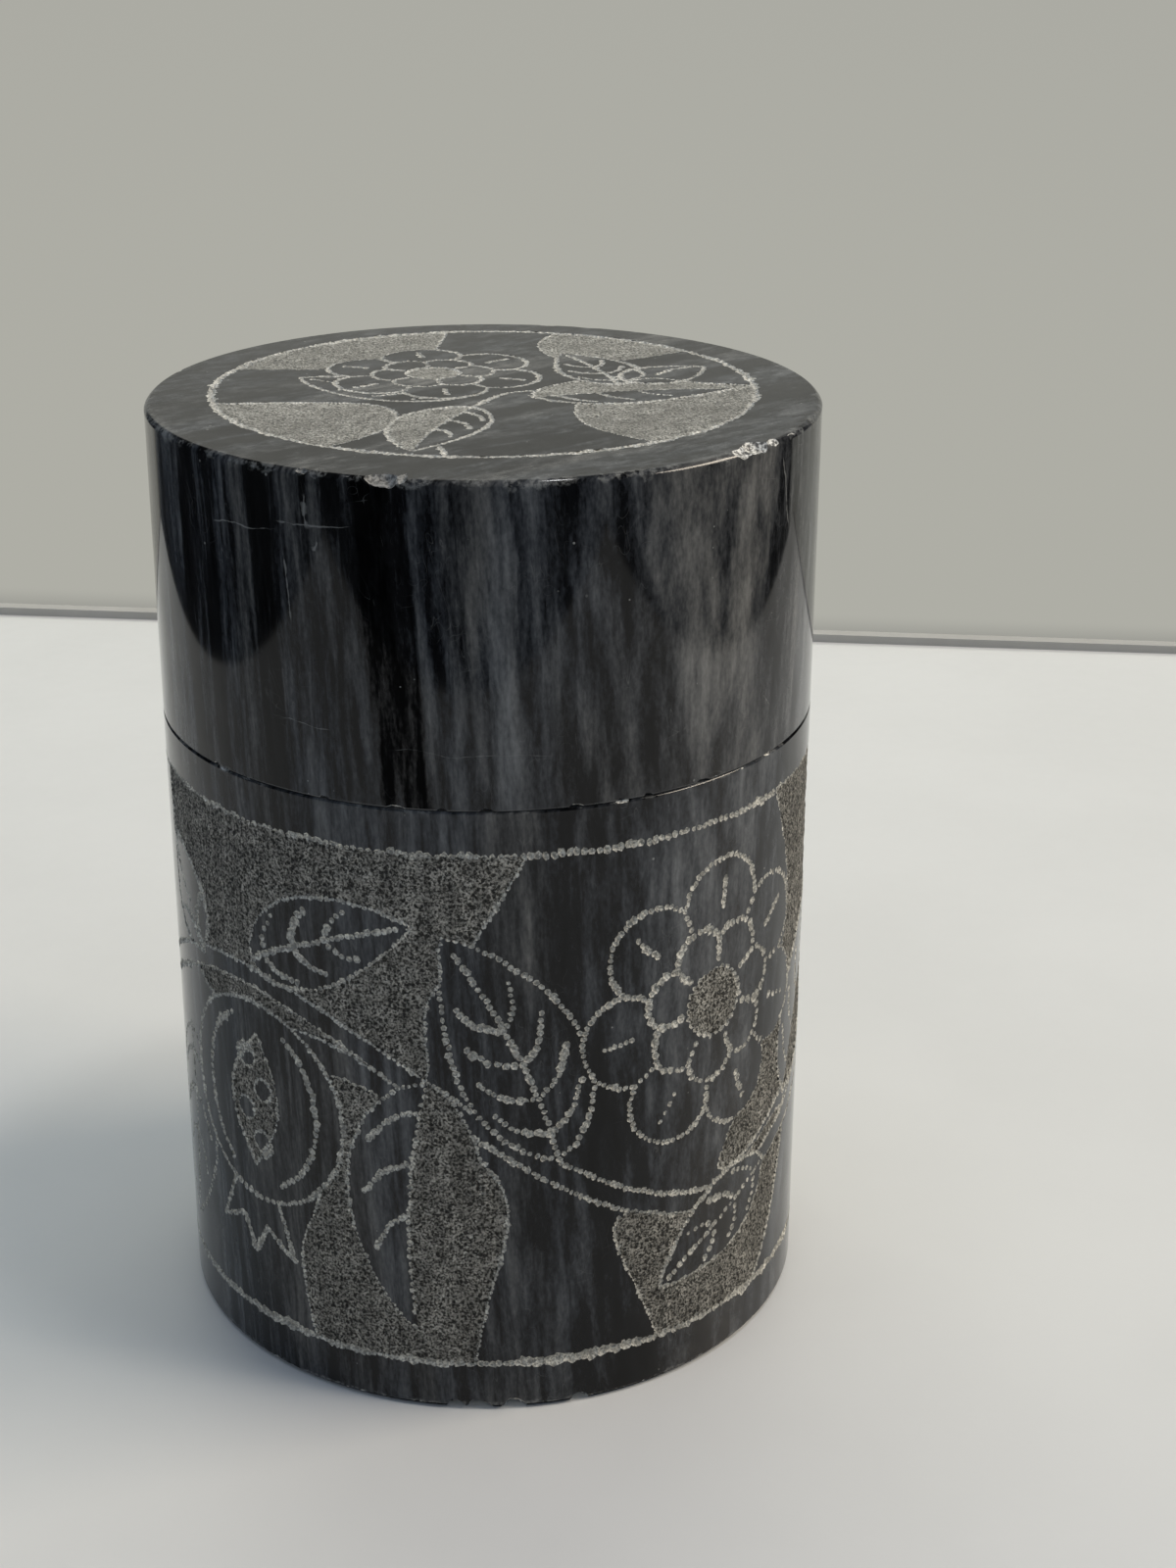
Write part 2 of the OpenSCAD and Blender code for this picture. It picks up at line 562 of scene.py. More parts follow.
@dataclass(frozen=True)
class WallDesign:
    """A frieze of fruit, leaves and flowers on a wavy stem between two borders, twice round the wall.

    A border line is given by the weight and the spacing of its marks.
    """

    girth: float
    low: float
    high: float
    stem_width: float = 2.6
    stem_height: float = 36.5
    swing: float = 12.5
    drift: float = 2.5
    start: float = -58.0
    margin: float = 12.0
    low_line: Point = (1.32, 0.95)
    high_line: Point = (1.12, 1.12)
    seed: int = 4

    def wave(self, u: float) -> float:
        """Returns the height of the stem at a place along the wall."""
        turn = FULL_TURN * u / self.girth
        return self.stem_height - self.swing * math.sin(2 * turn) - self.drift * math.sin(turn + 0.6)

    def stem(self) -> Drawing:
        """Draws the stem once round the wall."""
        steps, near = 160, 0.1
        upper: Path = []
        lower: Path = []
        for k in range(steps + 1):
            u = self.start + self.girth * k / steps
            slope = (self.wave(u + near) - self.wave(u - near)) / (2 * near)
            half = 0.5 * self.stem_width / math.hypot(1, slope)
            upper.append((u - half * slope, self.wave(u) + half))
            lower.append((u + half * slope, self.wave(u) - half))
        return Drawing(upper + lower[::-1], [], [], [upper, lower])

    def lay_grounds(self, sheet: Composition, u: float) -> None:
        """Lays the four pecked areas that lie behind one repeat of the frieze, which is centred on u."""
        top, foot = self.high + 4, self.low - 4
        areas = [
            [(-47, top), (-30, top), (-12, top), (4, top), (-1, 60), (-7, 51), (-8, 41), (-20, 45),
             (-38, 45), (-46, 56)],
            [(-20, 40), (-8, 37), (1, 28), (-1, 14), (-5, foot), (-19, foot), (-23, 16), (-20, 26)],
            [(37, top), (50, top + 1), (58, top - 2), (56, 50), (54, 38), (40, 28), (28, 25), (37, 40),
             (42, 54)],
            [(14, 23), (26, 22), (42, 26), (39, 12), (31, foot), (22, foot), (17, 12)],
        ]
        for area in areas:
            sheet.add_ground([(u + across, v) for across, v in area])

    def lay_plants(self, sheet: Composition, u: float, petals: int) -> None:
        """Lays the leaves, fruit and flowers of one repeat of the frieze, which is centred on u."""
        sheet.add(Leaf(31, 15, -6, 3, Side.LEFT).drawn().placed((u - 7, 41.5), 166))
        sheet.add(Leaf(26, 13, 5).drawn().placed((u - 45, 37), -174))
        sheet.add(Fruit(12.5).drawn().placed((u - 28.5, 46.5), 176))
        sheet.add(Leaf(29, 14, -6, 4).drawn().placed((u + 7, 32), 13))
        sheet.add(Leaf(27, 13, 6, 4, Side.RIGHT).drawn().placed((u + 43, 28), -20))
        sheet.add(Blossom(17, petals).drawn().placed((u + 26.5, 46.5), 8))
        sheet.add(Leaf(22, 10.5, 4).drawn().placed((u - 29, 51.5), -58))
        sheet.add(Leaf(20, 10, -3).drawn().placed((u + 37, 22), 110))
        sheet.add(Bud(14, 9).drawn().placed((u - 39, 49), 32))

    def strip(self, low: float, high: float) -> Path:
        """Outlines a strip between two heights, right round the wall."""
        left, right = self.start - self.margin, self.start + self.girth + self.margin
        return [(left, low), (right, low), (right, high), (left, high)]

    def composed(self) -> Composition:
        """Returns the whole frieze with its two borders."""
        sheet = Composition(self.seed)
        centres = (0.0, 0.5 * self.girth)
        for u in centres:
            self.lay_grounds(sheet, u)
        sheet.add(self.stem())
        for u, petals in zip(centres, (7, 6)):
            self.lay_plants(sheet, u, petals)
        sheet.clear(self.strip(self.high, self.high + self.margin))
        sheet.clear(self.strip(self.low - self.margin, self.low))
        for v, (weight, spacing) in ((self.low, self.low_line), (self.high, self.high_line)):
            sheet.strike(stepped([(self.start, v), (self.start + self.girth, v)], 1.0), weight, spacing)
        return sheet


@dataclass(frozen=True)
class LidDesign:
    """A flowering spray inside a ring on the lid's top."""

    ring: float
    offset: float
    seed: int = 9

    def at(self, radius: float, turn: float) -> Point:
        """Returns the point at a distance from the ring's centre, in a direction in degrees."""
        return arc((0, self.offset), radius, turn, turn, 1)[0]

    def composed(self) -> Composition:
        """Returns the spray and its ring."""
        sheet = Composition(self.seed)
        beyond = self.ring + 3
        areas = [
            [(beyond, 100), (beyond, 120), (beyond, 140), (beyond, 160), (20, 150), (15, 125), (22, 105)],
            [(beyond, -50), (beyond, -30), (beyond, -5), (24, 4), (15, -5), (13, -40), (22, -58)],
            [(beyond, 195), (beyond, 215), (beyond, 235), (20, 240), (14, 215), (24, 196)],
            [(beyond, 40), (beyond, 55), (beyond, 70), (24, 74), (17, 58), (22, 40)],
        ]
        for area in areas:
            sheet.add_ground([self.at(*place) for place in area])
        stalk = [(29, 262), (20, 255), (9, 262), (4, 330), (12, 352), (17, 20)]
        sheet.strike(smooth([self.at(*place) for place in stalk]))
        sheet.add(Leaf(21, 11, 4).drawn().placed(self.at(3, 250), 78))
        sheet.add(Leaf(19, 10, -4, 3, Side.RIGHT).drawn().placed(self.at(9, 262), 150))
        sheet.add(Leaf(22, 11.5, 5, 3, Side.LEFT).drawn().placed(self.at(7, 320), -68))
        sheet.add(Leaf(17, 9, -3).drawn().placed(self.at(15, 5), 10))
        sheet.add(Blossom(12.5, 6).drawn().placed(self.at(9.5, 128), 10))
        sheet.add(Bud(12, 8).drawn().placed(self.at(16, 10), -52))
        ring = arc((0, self.offset), self.ring, 0, 360, 120)
        sheet.clear(arc((0, self.offset), self.ring + 15, 0, 360, 60) + ring[::-1])
        sheet.strike(ring, 1.3, 1.1)
        return sheet


# Node trees


class Sketch:
    """Adds nodes to a tree and links them as it goes."""

    def __init__(self, tree: NodeTree) -> None:
        """Starts on a tree."""
        self.tree = tree

    def add(self, kind: str, feeds: Optional[Feeds] = None, **settings: object) -> Node:
        """Adds a node.

        Args:
            kind: Blender's name for the type of node.
            feeds: What each input gets, by its name or number: a fixed value, or another node's output.
            settings: The node's own properties.

        Returns:
            The new node.
        """
        node = self.tree.nodes.new(kind)
        for name, value in settings.items():
            setattr(node, name, value)
        for key, value in (feeds or {}).items():
            self.feed(node.inputs[key], value)
        return node

    def feed(self, socket: NodeSocket, value: Feed) -> None:
        """Gives an input a fixed value, or links it to an output, or to a node's first output."""
        if isinstance(value, Node):
            value = value.outputs[0]
        if isinstance(value, NodeSocket):
            self.tree.links.new(value, socket)
        else:
            socket.default_value = value

    def math(self, operation: str, *values: Feed, clamp: bool = False) -> NodeSocket:
        """Adds a Math node and returns its result."""
        feeds = dict(enumerate(values))
        return self.add("ShaderNodeMath", feeds, operation=operation, use_clamp=clamp).outputs[0]

    def times(self, a: Feed, b: Feed) -> NodeSocket:
        """Returns a number times another."""
        return self.math("MULTIPLY", a, b)

    def over(self, a: Feed, b: Feed) -> NodeSocket:
        """Returns a number divided by another."""
        return self.math("DIVIDE", a, b)

    def plus(self, a: Feed, b: Feed) -> NodeSocket:
        """Returns a number plus another."""
        return self.math("ADD", a, b)

    def minus(self, a: Feed, b: Feed, clamp: bool = False) -> NodeSocket:
        """Returns a number less another, and holds it between 0 and 1 on request."""
        return self.math("SUBTRACT", a, b, clamp=clamp)

    def parts(self, vector: Feed) -> Sequence[NodeSocket]:
        """Returns the three parts of a vector."""
        return self.add("ShaderNodeSeparateXYZ", {0: vector}).outputs

    def joined(self, *parts: Feed) -> NodeSocket:
        """Returns the vector of up to three parts."""
        return self.add("ShaderNodeCombineXYZ", dict(enumerate(parts))).outputs[0]

    def vector(self, operation: str, *values: Feed) -> NodeSocket:
        """Adds a Vector Math node and returns its result, which is a number for a length or a dot product."""
        node = self.add("ShaderNodeVectorMath", dict(enumerate(values)), operation=operation)
        return node.outputs["Value" if operation in {"LENGTH", "DOT_PRODUCT", "DISTANCE"} else "Vector"]

    def scaled(self, vector: Feed, factor: Feed) -> NodeSocket:
        """Returns a vector times a number."""
        feeds = {"Vector": vector, "Scale": factor}
        return self.add("ShaderNodeVectorMath", feeds, operation="SCALE").outputs["Vector"]

    def ramp(self, value: Feed, low: Feed, high: Feed, start: Feed = 0.0, end: Feed = 1.0) -> NodeSocket:
        """Maps a value smoothly from between low and high to between start and end, and no further."""
        feeds = {"Value": value, 1: low, 2: high, 3: start, 4: end}
        return self.add("ShaderNodeMapRange", feeds, interpolation_type="SMOOTHSTEP").outputs[0]

    def mix(self, factor: Feed, low: Feed, high: Feed, blend: str = "MIX") -> NodeSocket:
        """Mixes two colours and returns the result."""
        feeds = {0: factor, 6: rgba(low), 7: rgba(high)}
        return self.add("ShaderNodeMix", feeds, data_type="RGBA", blend_type=blend).outputs[2]

    def noise(self, vector: Feed, scale: Feed = 1.0, detail: float = 2.0, roughness: float = 0.5) -> Node:
        """Adds a Noise Texture."""
        feeds = {"Vector": vector, "Scale": scale, "Detail": detail, "Roughness": roughness}
        return self.add("ShaderNodeTexNoise", feeds)


def rgba(value: Feed) -> Feed:
    """Returns a colour of three numbers as one of four, and anything else unchanged."""
    return (*value, 1.0) if isinstance(value, tuple) and len(value) == 3 else value


def new_group(
    name: str, kind: str, inputs: dict[str, str], outputs: dict[str, str]
) -> tuple[Sketch, Node, Node]:
    """Starts a node group.

    Args:
        name: Name of the group.
        kind: "ShaderNodeTree" or "GeometryNodeTree".
        inputs: The kind of each of the group's inputs, by its name.
        outputs: The kind of each of its outputs, by its name.

    Returns:
        A sketch on the group's tree, its input node and its output node.
    """
    tree = bpy.data.node_groups.new(name, kind)
    for in_out, sockets in (("INPUT", inputs), ("OUTPUT", outputs)):
        for socket, holds in sockets.items():
            tree.interface.new_socket(socket, in_out=in_out, socket_type=f"NodeSocket{holds}")
    return Sketch(tree), tree.nodes.new("NodeGroupInput"), tree.nodes.new("NodeGroupOutput")


# Turning


@dataclass(frozen=True)
class Corner:
    """A corner of a turned stone's half section, with the finish of the surface that runs on from it."""

    r: float
    z: float
    radius: float = 0.0
    finish: Finish = Finish.POLISHED


@dataclass(frozen=True)
class Lathe:
    """Turns a half section into a closed mesh.

    A flatness of 0 leaves its rounded corners quarter round, and one of 1 makes them flat.
    """

    sides: int = 256
    row: float = 6 * MM
    round_steps: int = 5
    flatness: float = 0.55

    def section(self, corners: Sequence[Corner]) -> list[Corner]:
        """Rounds the corners and adds rows along the straight runs.

        Args:
            corners: The half section, from the axis underneath, round the outside, to the axis inside.

        Returns:
            The section's points, each with the finish of the surface that runs on from it.
        """
        points = [corners[0]]
        for before, corner, after in zip(corners, corners[1:], corners[2:]):
            centre = Vector((corner.r, corner.z))
            arrive = (centre - Vector((before.r, before.z))).normalized()
            leave = (Vector((after.r, after.z)) - centre).normalized()
            if corner.radius == 0:
                points.append(corner)
                continue
            middle = centre + corner.radius * (leave - arrive)
            for k in range(self.round_steps + 1):
                a = 0.25 * FULL_TURN * k / self.round_steps
                rounded = middle + corner.radius * (math.sin(a) * arrive - math.cos(a) * leave)
                flat = centre + corner.radius * (k / self.round_steps * (leave + arrive) - arrive)
                r, z = rounded.lerp(flat, self.flatness)
                points.append(Corner(r, z, 0, corner.finish if k == self.round_steps else before.finish))
        points.append(corners[-1])
        rows: list[Corner] = []
        for a, b in zip(points, points[1:]):
            n = max(1, round(math.dist((a.r, a.z), (b.r, b.z)) / self.row))
            for k in range(n):
                rows.append(Corner(a.r + (b.r - a.r) * k / n, a.z + (b.z - a.z) * k / n, 0, a.finish))
        return rows + [points[-1]]

    def turned(self, name: str, corners: Sequence[Corner]) -> Mesh:
        """Turns the section once round the Z axis.

        Args:
            name: Name of the mesh.
            corners: The half section, which begins and ends on the axis.

        Returns:
            A closed mesh with outward faces, whose material numbers say their finish.
        """
        section = self.section(corners)
        verts: list[Place] = []
        rings: list[list[int]] = []
        for point in section:
            count = 1 if point.r < TINY else self.sides
            rings.append([len(verts) + k % count for k in range(self.sides)])
            angles = [FULL_TURN * (k + 0.5) / self.sides for k in range(count)]
            verts += [(point.r * math.cos(a), point.r * math.sin(a), point.z) for a in angles]
        faces: list[tuple[int, ...]] = []
        finishes: list[int] = []
        for low, high, point in zip(rings, rings[1:], section):
            for k in range(self.sides):
                j = (k + 1) % self.sides
                faces.append(tuple(dict.fromkeys((low[k], low[j], high[j], high[k]))))
                finishes.append(point.finish.value)
        mesh = new_mesh(name, verts, faces)
        mesh.polygons.foreach_set("material_index", finishes)
        return mesh


@dataclass(frozen=True)
class Chip:
    """A place on an edge where the stone has broken away, in millimetres.

    It lies so far along the edge from the front's centre, and cuts so deep into the wall and so far up
    or down it.
    """

    along: float
    length: float
    depth: float
    drop: float


@dataclass(frozen=True)
class Edge:
    """A round outer edge, in metres, with its larger chips and how many small nicks it has."""

    radius: float
    height: float
    upward: bool
    chips: tuple[Chip, ...]
    nicks: int
    nick_depths: Point = (0.06, 0.18)
    deep_share: float = 0.15
    deep_factor: float = 2.2

    def small_nicks(self, rng: Random) -> list[Chip]:
        """Returns small nicks at random places, a few of them twice as large."""
        found: list[Chip] = []
        for _ in range(self.nicks):
            depth = rng.uniform(*self.nick_depths)
            depth *= self.deep_factor if rng.random() > 1 - self.deep_share else 1
            along = rng.uniform(0, FULL_TURN) * self.radius / MM
            found.append(Chip(along, depth * rng.uniform(2, 6), depth, depth * rng.uniform(0.8, 1.6)))
        return found


def chip_points(name: str, chips: Sequence[tuple[Edge, Chip]]) -> Mesh:
    """Returns a point for every chip, with the half sizes of the stone that it takes away.

    Args:
        name: Name of the mesh.
        chips: The chips, each with its edge.

    Returns:
        A mesh of points with a "size" attribute: along the edge, outwards and up.
    """
    centre_out, reach = 0.35 * MM, 1.35 * MM
    places: list[Place] = []
    sizes: list[Place] = []
    for edge, chip in chips:
        r, turn = edge.radius + centre_out * chip.depth, chip.along * MM / edge.radius
        rise = centre_out * chip.drop * (1 if edge.upward else -1)
        places.append((r * math.sin(turn), -r * math.cos(turn), edge.height + rise))
        sizes.append((0.5 * chip.length * MM, reach * chip.depth, reach * chip.drop))
    mesh = new_mesh(name, places)
    attribute = mesh.attributes.new("size", "FLOAT_VECTOR", "POINT")
    attribute.data.foreach_set("vector", [length for size in sizes for length in size])
    return mesh


def punch_mark_mesh(width: float, depth: float) -> Mesh:
    """Returns the stone that one blow takes away: a six-sided point, closed above the surface."""
    sides, lift, shift = 6, 0.4 * depth, 0.12 * width
    radius = 0.5 * width * (1 + lift / depth)
    verts = [(shift, 0.0, -depth), (0.0, 0.0, lift)]
    for k in range(sides):
        a = FULL_TURN * k / sides
        verts.append((radius * math.cos(a), radius * math.sin(a), lift))
    faces = []
    for k in range(sides):
        here, after = 2 + k, 2 + (k + 1) % sides
        faces += [(0, after, here), (1, here, after)]
    return new_mesh("punch mark", verts, faces)


def chip_mesh(name: str, subdivisions: int) -> Mesh:
    """Returns a lumpy ball of unit radius, which the chips' stone is scaled from."""
    ball = bmesh.new()
    bmesh.ops.create_icosphere(ball, subdivisions=subdivisions, radius=1.0)
    for vert in ball.verts:
        lump = noise(1.3 * vert.co + Vector((5, 1, 2)))
        lump += 0.5 * noise(3.1 * vert.co) + 0.35 * noise(7.3 * vert.co)
        vert.co *= 1 + 0.3 * lump
    mesh = bpy.data.meshes.new(name)
    ball.to_mesh(mesh)
    ball.free()
    return mesh


@dataclass(frozen=True)
class Punch:
    """The punch that pecks the drawing, and the hand that guides it."""

    pitch: float = 0.72 * MM
    mark_width: float = 0.90 * MM
    mark_depth: float = 0.24 * MM
    wobble: float = 0.09 * MM
    ground_depth: float = 0.13 * MM
    grain: float = 0.08 * MM
    grain_spacing: float = 0.66
    seed: int = 11


class CarvingTree:
    """The Geometry Nodes tree that cuts marks, ground and chips out of a turned stone.

    Its own numbers are shares of the wobble and the pitch, and how much the marks differ in size and tilt.
    """

    sway_share: ClassVar[float] = 3.2
    slip_share: ClassVar[float] = 0.4
    merge_share: ClassVar[float] = 0.5
    mark_sizes: ClassVar[Point] = (0.82, 1.12)
    swell_sizes: ClassVar[Point] = (0.8, 1.14)
    mark_low: ClassVar[Place] = (0.76, 0.82, 0.9)
    mark_high: ClassVar[Place] = (1.26, 1.16, 1.1)
    tilt: ClassVar[float] = 0.2
    chip_roll: ClassVar[float] = 0.4

    def __init__(self, surface: Surface) -> None:
        """Builds the tree for drawings that lie on a wall or on a top."""
        self.surface = surface
        cutters = ("Lines", "Ground", "Chips", "Nicks", "Mark", "Chip Stone", "Nick Stone")
        sizes = ("Radius", "Height", "Pitch", "Wobble", "Ground Depth", "Grain")
        inputs = {
            "Stone": "Geometry",
            **dict.fromkeys(cutters, "Object"),
            **dict.fromkeys(sizes, "Float"),
            "Seed": "Int",
            **dict.fromkeys(("Struck", "Pecked", "Broken", "Polished"), "Material"),
        }
        name = f"carve the {surface.value}"
        s, self.given, result = new_group(name, "GeometryNodeTree", inputs, {"Stone": "Geometry"})
        self.sketch = s
        stone = {"Mesh 1": self.given.outputs["Stone"]}
        cut = s.add("GeometryNodeMeshBoolean", stone, operation="DIFFERENCE")
        cut.solver = "MANIFOLD"
        chips, nicks = self.broken_off("Chips", "Chip Stone", 5), self.broken_off("Nicks", "Nick Stone", 6)
        for cutter in (self.marks(), self.ground(), chips, nicks):
            s.feed(cut.inputs["Mesh 2"], cutter)
        whole = s.add("GeometryNodeTriangulate", {0: cut.outputs["Mesh"]})
        whole = s.add("GeometryNodeRealizeInstances", {0: whole})
        turned = s.add("GeometryNodeInputNamedAttribute", {"Name": "polished"}, data_type="BOOLEAN")
        s.feed(result.inputs[0], self.finished(whole, "Polished", turned))

    def mesh_of(self, name: str) -> NodeSocket:
        """Returns the mesh of an object that the tree is given."""
        feeds = {"Object": self.given.outputs[name]}
        return self.sketch.add("GeometryNodeObjectInfo", feeds).outputs["Geometry"]

    def finished(self, mesh: Feed, finish: str, where: Feed = True) -> Node:
        """Gives a mesh, or its chosen faces, one of the tree's materials."""
        feeds = {"Geometry": mesh, "Selection": where, "Material": self.given.outputs[finish]}
        return self.sketch.add("GeometryNodeSetMaterial", feeds)

    def set_on(self, points: Feed, lump: Feed, turn: Feed, size: Feed) -> Node:
        """Sets a lump of stone on every point."""
        feeds = {"Points": points, "Instance": lump, "Rotation": turn, "Scale": size}
        return self.sketch.add("GeometryNodeInstanceOnPoints", feeds)

    def random(self, low: Feed, high: Feed, stream: int) -> NodeSocket:
        """Returns a random number, or a vector between two, from one stream of the tree's seed."""
        seed = self.sketch.plus(self.given.outputs["Seed"], float(stream))
        if isinstance(low, tuple):
            feeds = {0: low, 1: high, "Seed": seed}
            return self.sketch.add("FunctionNodeRandomValue", feeds, data_type="FLOAT_VECTOR").outputs[0]
        return self.sketch.add("FunctionNodeRandomValue", {2: low, 3: high, "Seed": seed}).outputs[1]

    def attribute(self, name: str) -> Node:
        """Returns a stroke's number by its name."""
        return self.sketch.add("GeometryNodeInputNamedAttribute", {"Name": name}, data_type="FLOAT")

    def laid(self, flat: Feed) -> NodeSocket:
        """Returns where a place of the flat drawing lies on the stone."""
        s = self.sketch
        u, v, rise = s.parts(flat)
        if self.surface is Surface.TOP:
            return s.joined(u, v, s.plus(self.given.outputs["Height"], rise))
        turn = s.over(u, self.given.outputs["Radius"])
        reach = s.plus(self.given.outputs["Radius"], rise)
        x = s.times(reach, s.math("SINE", turn))
        y = s.times(s.times(reach, -1.0), s.math("COSINE", turn))
        return s.joined(x, y, v)

    def facing(self) -> Node:
        """Returns the rotation that turns Z away from the wall at each point."""
        level = self.sketch.vector("MULTIPLY", self.sketch.add("GeometryNodeInputPosition"), (1.0, 1.0, 0.0))
        return self.sketch.add("FunctionNodeAlignRotationToVector", {"Vector": level}, axis="Z")

    def marks(self) -> Node:
        """Strikes the punch along the lines, a pitch apart, and returns the stone that it takes away."""
        s = self.sketch
        wobble = self.given.outputs["Wobble"]
        curves = s.add("GeometryNodeMeshToCurve", {"Mesh": self.mesh_of("Lines")})
        pitch = s.times(self.attribute("spacing"), self.given.outputs["Pitch"])
        curves = s.add("GeometryNodeResampleCurve", {"Curve": curves, "Length": pitch}, mode="LENGTH")
        points = s.add("GeometryNodeCurveToPoints", {"Curve": curves}, mode="EVALUATED").outputs["Points"]
        flat = s.add("GeometryNodeInputPosition")
        sway = s.noise(self.laid(flat), scale=230.0, detail=2.0).outputs[1]
        sway = s.scaled(s.vector("SUBTRACT", sway, (0.5, 0.5, 0.5)), s.times(self.sway_share, wobble))
        slip = s.scaled(self.random((-1.0, -1.0, 0.0), (1.0, 1.0, 0.0), 1), s.times(self.slip_share, wobble))
        struck = s.vector("MULTIPLY", s.vector("ADD", sway, slip), (1.0, 1.0, 0.0))
        struck = self.laid(s.vector("ADD", flat, struck))
        points = s.add("GeometryNodeSetPosition", {"Geometry": points, "Position": struck})
        nearest = s.times(self.merge_share, self.given.outputs["Pitch"])
        points = s.add("GeometryNodeMergeByDistance", {"Geometry": points, "Distance": nearest})
        swell = s.noise(s.add("GeometryNodeInputPosition"), scale=150.0).outputs[0]
        size = s.times(self.random(*self.mark_sizes, 2), s.ramp(swell, 0.35, 0.65, *self.swell_sizes))
        uneven = self.random(self.mark_low, self.mark_high, 5)
        size = s.scaled(uneven, s.times(size, self.attribute("weight")))
        tilt = self.random((-self.tilt, -self.tilt, 0.0), (self.tilt, self.tilt, FULL_TURN), 3)
        turn = s.add("FunctionNodeEulerToRotation", {0: tilt})
        if self.surface is Surface.WALL:
            turn = s.add("FunctionNodeRotateRotation", {0: self.facing(), 1: turn}, rotation_space="LOCAL")
        return self.set_on(points, self.finished(self.mesh_of("Mark"), "Struck"), turn, size)

    def ground(self) -> Node:
        """Gives the flat slabs of the ground a grainy floor and lays them on the stone."""
        s = self.sketch
        u, v, rise = s.parts(s.add("GeometryNodeInputPosition"))
        above = s.math("GREATER_THAN", rise, 0.0)
        grain = s.times(self.random(-1.0, 1.0, 4), self.given.outputs["Grain"])
        floor = s.times(s.plus(self.given.outputs["Ground Depth"], grain), -1.0)
        level = s.plus(s.times(above, MM), s.times(s.minus(1.0, above), floor))
        feeds = {"Geometry": self.mesh_of("Ground"), "Position": self.laid(s.joined(u, v, level))}
        return self.finished(s.add("GeometryNodeSetPosition", feeds), "Pecked")

    def broken_off(self, places: str, stone: str, stream: int) -> Node:
        """Sets a lump of stone on every chip, lengthwise along its edge and turned a little about it."""
        s = self.sketch
        points = s.add("GeometryNodeMeshToPoints", {"Mesh": self.mesh_of(places)})
        feeds = {"Rotation": self.facing(), "Vector": (0.0, 0.0, 1.0)}
        upright = s.add("FunctionNodeAlignRotationToVector", feeds, axis="Y", pivot_axis="Z")
        roll = s.joined(self.random(-self.chip_roll, self.chip_roll, stream))
        spin = s.add("FunctionNodeEulerToRotation", {0: roll})
        turn = s.add("FunctionNodeRotateRotation", {0: upright, 1: spin}, rotation_space="LOCAL")
        size = s.add("GeometryNodeInputNamedAttribute", {"Name": "size"}, data_type="FLOAT_VECTOR")
        return self.set_on(points, self.finished(self.mesh_of(stone), "Broken"), turn, size)


def stand(data: bpy.types.ID) -> Object:
    """Stands a mesh, a light or a camera in the scene under its own name."""
    made = bpy.data.objects.new(data.name, data)
    bpy.context.scene.collection.objects.link(made)
    return made


@dataclass
class Carving:
    """Everything that is cut out of one stone, and the materials that it gets."""

    surface: Surface
    radius: float
    height: float
    design: Composition
    edges: tuple[Edge, ...]
    punch: Punch
    materials: dict[Finish, Material]

    def carve(self, blank: Mesh, name: str) -> Object:
        """Cuts the stone.

        Args:
            blank: The turned stone.
            name: Name of the finished piece.

        Returns:
            The finished piece as one plain mesh.
        """
        punch = self.punch
        points, triangles = self.design.pecked_triangles(punch.grain_spacing, punch.seed)
        rng = Random(punch.seed)
        chips = [(edge, chip) for edge in self.edges for chip in edge.chips]
        nicks = [(edge, chip) for edge in self.edges for chip in edge.small_nicks(rng)]
        helpers = {
            "Lines": stand(self.design.line_mesh("lines")),
            "Ground": stand(slab_mesh("ground", points, triangles)),
            "Chips": stand(chip_points("chips", chips)),
            "Nicks": stand(chip_points("nicks", nicks)),
            "Mark": stand(punch_mark_mesh(punch.mark_width, punch.mark_depth)),
            "Chip Stone": stand(chip_mesh("chip stone", 3)),
            "Nick Stone": stand(chip_mesh("nick stone", 1)),
        }
        values = {
            "Radius": self.radius,
            "Height": self.height,
            "Pitch": punch.pitch,
            "Wobble": punch.wobble,
            "Ground Depth": punch.ground_depth,
            "Grain": punch.grain,
            "Seed": punch.seed,
            "Struck": self.materials[Finish.STRUCK],
            "Pecked": self.materials[Finish.GROUND],
            "Broken": self.materials[Finish.BROKEN],
            "Polished": self.materials[Finish.POLISHED],
        }
        for finish in Finish:
            blank.materials.append(self.materials[finish])
        polished = [polygon.material_index == Finish.POLISHED.value for polygon in blank.polygons]
        blank.attributes.new("polished", "BOOLEAN", "FACE").data.foreach_set("value", polished)
        stone = stand(blank)
        mesh = evaluated(stone, CarvingTree(self.surface).sketch.tree, {**helpers, **values})
        mesh.name = name
        for helper in (*helpers.values(), stone):
            bpy.data.objects.remove(helper)
        return stand(mesh)


def evaluated(target: Object, tree: NodeTree, values: dict[str, object]) -> Mesh:
    """Runs a Geometry Nodes tree on an object and returns the result as a plain mesh.

    Args:
        target: The object.
        tree: The tree.
        values: The tree's inputs by name.

    Returns:
        The mesh.
    """
    modifier = target.modifiers.new(tree.name, "NODES")
    modifier.node_group = tree
    for item in tree.interface.items_tree:
        if item.in_out == "INPUT" and item.name in values:
            modifier[item.identifier] = values[item.name]
    graph = bpy.context.evaluated_depsgraph_get()
    mesh = bpy.data.meshes.new_from_object(target.evaluated_get(graph), depsgraph=graph)
    target.modifiers.remove(modifier)
    return mesh


